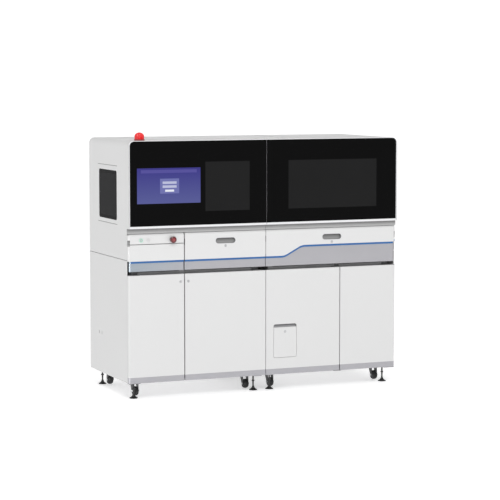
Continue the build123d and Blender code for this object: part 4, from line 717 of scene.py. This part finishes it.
BELT_PITCH = 0.005
BELT_STEPS = 6
BELT_HALF_W = 0.006
BELT_HALF_T = 0.0010
TOOTH = 0.0006
BELT_RISE = 0.0022
BELT_SQUARE = 0.4
BELT_IN = 0.03
BELT_FROM_FACE = 0.02
rail_low, rail_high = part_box("gantry_rail")
belt_x = np.arange(rail_low.x + BELT_IN, rail_high.x - BELT_IN, BELT_PITCH / BELT_STEPS)
belt_wave = TOOTH * np.tanh(3 * np.sin(2 * np.pi * belt_x / BELT_PITCH))
belt_turn = np.linspace(0, 2 * np.pi, 12, endpoint=False)
belt_across = BELT_HALF_W * np.sign(np.cos(belt_turn)) * np.abs(np.cos(belt_turn)) ** BELT_SQUARE
belt_section = np.stack([belt_across, BELT_HALF_T * np.sin(belt_turn)], -1)
belt_y = rail_low.y + BELT_FROM_FACE
belt_points = closed_ends(carried(belt_section, belt_x, belt_y, rail_high.z + BELT_RISE + belt_wave))
belt_rubber = powder_coat("belt_rubber", (0.020, 0.020, 0.021), (0.030, 0.030, 0.031), (0.5, 0.7))
add_piece("rail_belt", belt_points[:, ::-1], belt_rubber, "machine", False, True)


def spun(profile, origin, axis, count=48, wave=0, depth=0.0):
    """A profile of radius and height turned about an axis. wave ribs of that depth run up its side."""
    axis = np.asarray(axis, float)
    first = np.cross(axis, (0.0, 0.3, 1.0) if abs(axis[2]) < 0.5 else (1.0, 0.0, 0.0))
    first /= np.linalg.norm(first)
    second = np.cross(axis, first)
    angle = np.linspace(0, 2 * np.pi, count, endpoint=False)
    ribs = 1 + (depth * np.cos(wave * angle) if wave else 0 * angle)
    radius = profile[:, :1] * ribs[None]
    ring = radius[..., None] * (np.cos(angle)[:, None] * first + np.sin(angle)[:, None] * second)
    return np.asarray(origin) + ring + profile[:, 1][:, None, None] * axis


pulley_profile = np.array([(0.0001, 0.0), (0.011, 0.0), (0.011, 0.0010), (0.008, 0.0016), (0.008, 0.0034),
                           (0.011, 0.0040), (0.011, 0.0050), (0.0035, 0.0050), (0.0030, 0.0056),
                           (0.0001, 0.0056)])
PULLEY_IN = 0.014
for side, pulley_x in (("left", rail_low.x + PULLEY_IN), ("right", rail_high.x - PULLEY_IN)):
    add_piece(f"belt_pulley_{side}", spun(pulley_profile, (pulley_x, belt_y, rail_high.z), ALONG_Z),
              zinc, "machine", False, True)


# Chamber lamps.
# A milky diffuser strip clipped under each hood's top sheet, along the front of the chamber.

LAMP_HALF_W = 0.011
LAMP_DEPTH = 0.0095
LAMP_BACK = 0.0008
LAMP_Y = -0.20
LAMP_UNDER_SHEET = 0.0010
LAMP_SPANS = {"left": (-0.83, -0.06), "right": (0.06, 0.83)}
SHEET = 0.004
LAMP_TIP = 0.01
TIP_EASE = 0.004
lamp_finish, lamp_shader = start_finish("lamp_diffuser")
lamp_vector, _, _, _ = place(lamp_finish)
lamp_colour = tint(lamp_finish, grain(lamp_finish, lamp_vector, 8.0), (0.80, 0.81, 0.83), (0.76, 0.77, 0.79))
join(lamp_finish, lamp_shader, lamp_colour,
     spread(lamp_finish, grain(lamp_finish, lamp_vector, 120.0), 0.3, 0.45))
lamp_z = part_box("housing_left")[1].z - SHEET - LAMP_UNDER_SHEET
lamp_turn = np.linspace(0, 2 * np.pi, 24, endpoint=False)
lamp_height = LAMP_DEPTH * np.minimum(np.sin(lamp_turn), 0) + LAMP_BACK * np.maximum(np.sin(lamp_turn), 0)
lamp_section = np.stack([LAMP_HALF_W * np.cos(lamp_turn), lamp_height], -1)
tip = TIP_EASE * (1 - np.cos(np.linspace(0, np.pi / 2, 6)))
for side, (start, end) in LAMP_SPANS.items():
    lamp_x = np.concatenate([start + tip, np.linspace(start + LAMP_TIP, end - LAMP_TIP, 30), end - tip[::-1]])
    add_piece(f"chamber_lamp_{side}", closed_ends(carried(lamp_section, lamp_x, LAMP_Y, lamp_z))[:, ::-1],
              lamp_finish, "machine", False, True)


# Vent filters.
# Pleated dust filters that stand behind the slots of the back panels.

PLEAT = 0.010
PLEAT_STEPS = 8
PLEAT_DEPTH = 0.0035
FILTER_FACE = 0.3765
FILTER_REAR = 0.3740
FILTER_HALF_W = 0.24
FILTER_H = 0.11
FILTER_X = {"left": -0.4495, "right": 0.4495}
FILTER_Z = {"low": 0.25, "high": 1.24}
filter_cloth = powder_coat("filter_cloth", (0.30, 0.30, 0.29), (0.22, 0.22, 0.21), (0.8, 0.95))
pleat_x = np.arange(-FILTER_HALF_W, FILTER_HALF_W + 0.0001, PLEAT / PLEAT_STEPS)
fold = PLEAT_DEPTH * np.arcsin(np.sin(2 * np.pi * pleat_x / PLEAT)) * 2 / np.pi
for side, middle in FILTER_X.items():
    for level, low in FILTER_Z.items():
        face = np.stack([middle + pleat_x, FILTER_FACE + fold], -1)
        rear = np.stack([middle + pleat_x, FILTER_REAR + fold], -1)
        loop = np.concatenate([face, rear[::-1]])
        flat = np.concatenate([(face + rear) / 2, ((face + rear) / 2)[::-1]])
        rings = [(flat, 0), (loop, 0), (loop, FILTER_H / 2), (loop, FILTER_H), (flat, FILTER_H)]
        grid = np.stack([np.insert(ring, 2, low + rise, axis=1) for ring, rise in rings])
        add_piece(f"vent_filter_{side}_{level}", grid, filter_cloth, "machine", False, True)


# Tube caps.
# Ribbed screw caps in two colours, each pressed over the top of one sample tube in the rack.

cap_profile = np.array([(0.0001, -0.0130), (0.0084, -0.0130), (0.0088, -0.0125), (0.0088, -0.0060),
                        (0.0088, 0.0000), (0.0082, 0.0008), (0.0060, 0.0010), (0.0001, 0.0010)])
CAP_COUNT = 8
CAP_RIBS = 24
CAP_RIB_SHARE = 0.03
TUBE_PITCH = 0.0192
RACK_X = -0.480
RACK_Y = 0.048
labware_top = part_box("labware")[1].z
cap_finishes = [powder_coat("cap_green", (0.10, 0.42, 0.30), (0.08, 0.36, 0.26), (0.3, 0.45)),
                powder_coat("cap_violet", (0.20, 0.14, 0.48), (0.17, 0.11, 0.42), (0.3, 0.45))]
for number in range(CAP_COUNT):
    cap_y = RACK_Y + (number - (CAP_COUNT - 1) / 2) * TUBE_PITCH
    cap_points = spun(cap_profile, (RACK_X, cap_y, labware_top), ALONG_Z, 72, CAP_RIBS, CAP_RIB_SHARE)
    add_piece(f"tube_cap_{number + 1}", cap_points, cap_finishes[number % 2], "machine", False, True)


# Axle nuts and lock rings.
# Domed steel nuts on the caster axles, and a plated ring round each key lock.

nut_profile = np.array([(0.0001, -0.0005), (0.0075, -0.0005), (0.0075, 0.0008), (0.0058, 0.0009),
                        (0.0058, 0.0040), (0.0046, 0.0058), (0.0024, 0.0068), (0.0001, 0.0071)])
for number in range(1, 9):
    fork_low, fork_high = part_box(f"caster_fork_{number}")
    wheel_low, wheel_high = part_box(f"caster_wheel_{number}")
    axle = ((wheel_low.y + wheel_high.y) / 2, (wheel_low.z + wheel_high.z) / 2)
    for side, nut_x, outward in (("left", fork_low.x, -1), ("right", fork_high.x, 1)):
        add_piece(f"axle_nut_{number}_{side}", spun(nut_profile, (nut_x, *axle), (outward, 0, 0), 36),
                  zinc, f"fork_{number}", False, True)

LOCK_RING_R = 0.0058
LOCK_RING_SECTION = (0.0009, 0.0005)
lock_turn = np.linspace(0, 2 * np.pi, 48, endpoint=False)
lock_normal = np.stack([np.cos(lock_turn), np.sin(lock_turn)], -1)
for body, centre in (("door_1", door_locks[0]), ("door_2", door_locks[1]), ("drawer_left", left_row_lock),
                     ("drawer_right", right_row_lock), ("flap", flap_lock)):
    rim(f"lock_ring_{body}", centre, FRONT_Y - LOCK_PROUD, lock_normal * LOCK_RING_R, lock_normal,
        *LOCK_RING_SECTION, zinc, body)


# Floor, light and camera.
# Pale studio sweep under a soft front light from the upper left, seen from the front left.

SWEEP = 60.0
SWEEP_BEND = 12.0
sweep_turn = np.linspace(0, np.pi / 2, 12)
bend_y = SWEEP - SWEEP_BEND + SWEEP_BEND * np.sin(sweep_turn)
bend = np.stack([bend_y, SWEEP_BEND * (1 - np.cos(sweep_turn))], -1)
sweep_line = np.concatenate([[(-SWEEP, 0.0)], bend, [(SWEEP, SWEEP / 2)]])
floor_mesh = bpy.data.meshes.new("floor")
floor_points = [(x, y, z) for y, z in sweep_line for x in (-SWEEP, SWEEP)]
floor_faces = [(2 * k, 2 * k + 1, 2 * k + 3, 2 * k + 2) for k in range(len(sweep_line) - 1)]
floor_mesh.from_pydata(floor_points, [], floor_faces)
floor = bpy.data.objects.new("floor", floor_mesh)
bpy.context.scene.collection.objects.link(floor)
floor_finish, floor_shader = start_finish("studio_floor", specular=0.0)
floor_vector, _, _, _ = place(floor_finish)
floor_tone = tint(floor_finish, grain(floor_finish, floor_vector, 0.3), (0.90, 0.90, 0.90), (0.89, 0.89, 0.89))
join(floor_finish, floor_shader, floor_tone)
floor_shader.inputs["Roughness"].default_value = 1.0
floor_shader.inputs["Emission Color"].default_value = (1, 1, 1, 1)
floor_shader.inputs["Emission Strength"].default_value = 0.46
floor_mesh.materials.append(floor_finish)

world = bpy.data.worlds.new("studio")
bpy.context.scene.world = world
world.use_nodes = True
world.node_tree.nodes["Background"].inputs["Color"].default_value = (1, 1, 1, 1)
world.node_tree.nodes["Background"].inputs["Strength"].default_value = 0.60
bpy.context.scene.view_settings.view_transform = "Standard"


def soft_light(name, place_at, aim_at, wide, high, power):
    """A rectangular area light, aimed at a point."""
    lamp = bpy.data.lights.new(name, "AREA")
    lamp.shape = "RECTANGLE"
    lamp.size = wide
    lamp.size_y = high
    lamp.energy = power
    holder = bpy.data.objects.new(name, lamp)
    holder.location = place_at
    holder.rotation_euler = (Vector(aim_at) - Vector(place_at)).to_track_quat("-Z", "Y").to_euler()
    bpy.context.scene.collection.objects.link(holder)
    return holder


soft_light("front_light", (-3.0, -9.0, 8.3), (0, 0, 0.9), 4.0, 4.0, 400.0)
edge_light = soft_light("edge_light", (-6.4, -3.0, 1.6), (-0.9, -0.35, 0.8), 1.0, 4.5, 330.0)
edge_light.visible_diffuse = False

YAW = math.radians(22.984)
PITCH = math.radians(5.287)
camera_data = bpy.data.cameras.new("camera")
camera_data.sensor_width = 36.0
camera_data.lens = 137.34
camera_data.clip_end = 200.0
camera = bpy.data.objects.new("camera", camera_data)
camera.location = (-4.6742, -11.1210, 1.9677)
sight = Vector((math.sin(YAW) * math.cos(PITCH), math.cos(YAW) * math.cos(PITCH), -math.sin(PITCH)))
camera.rotation_euler = sight.to_track_quat("-Z", "Y").to_euler()
bpy.context.scene.collection.objects.link(camera)
bpy.context.scene.camera = camera
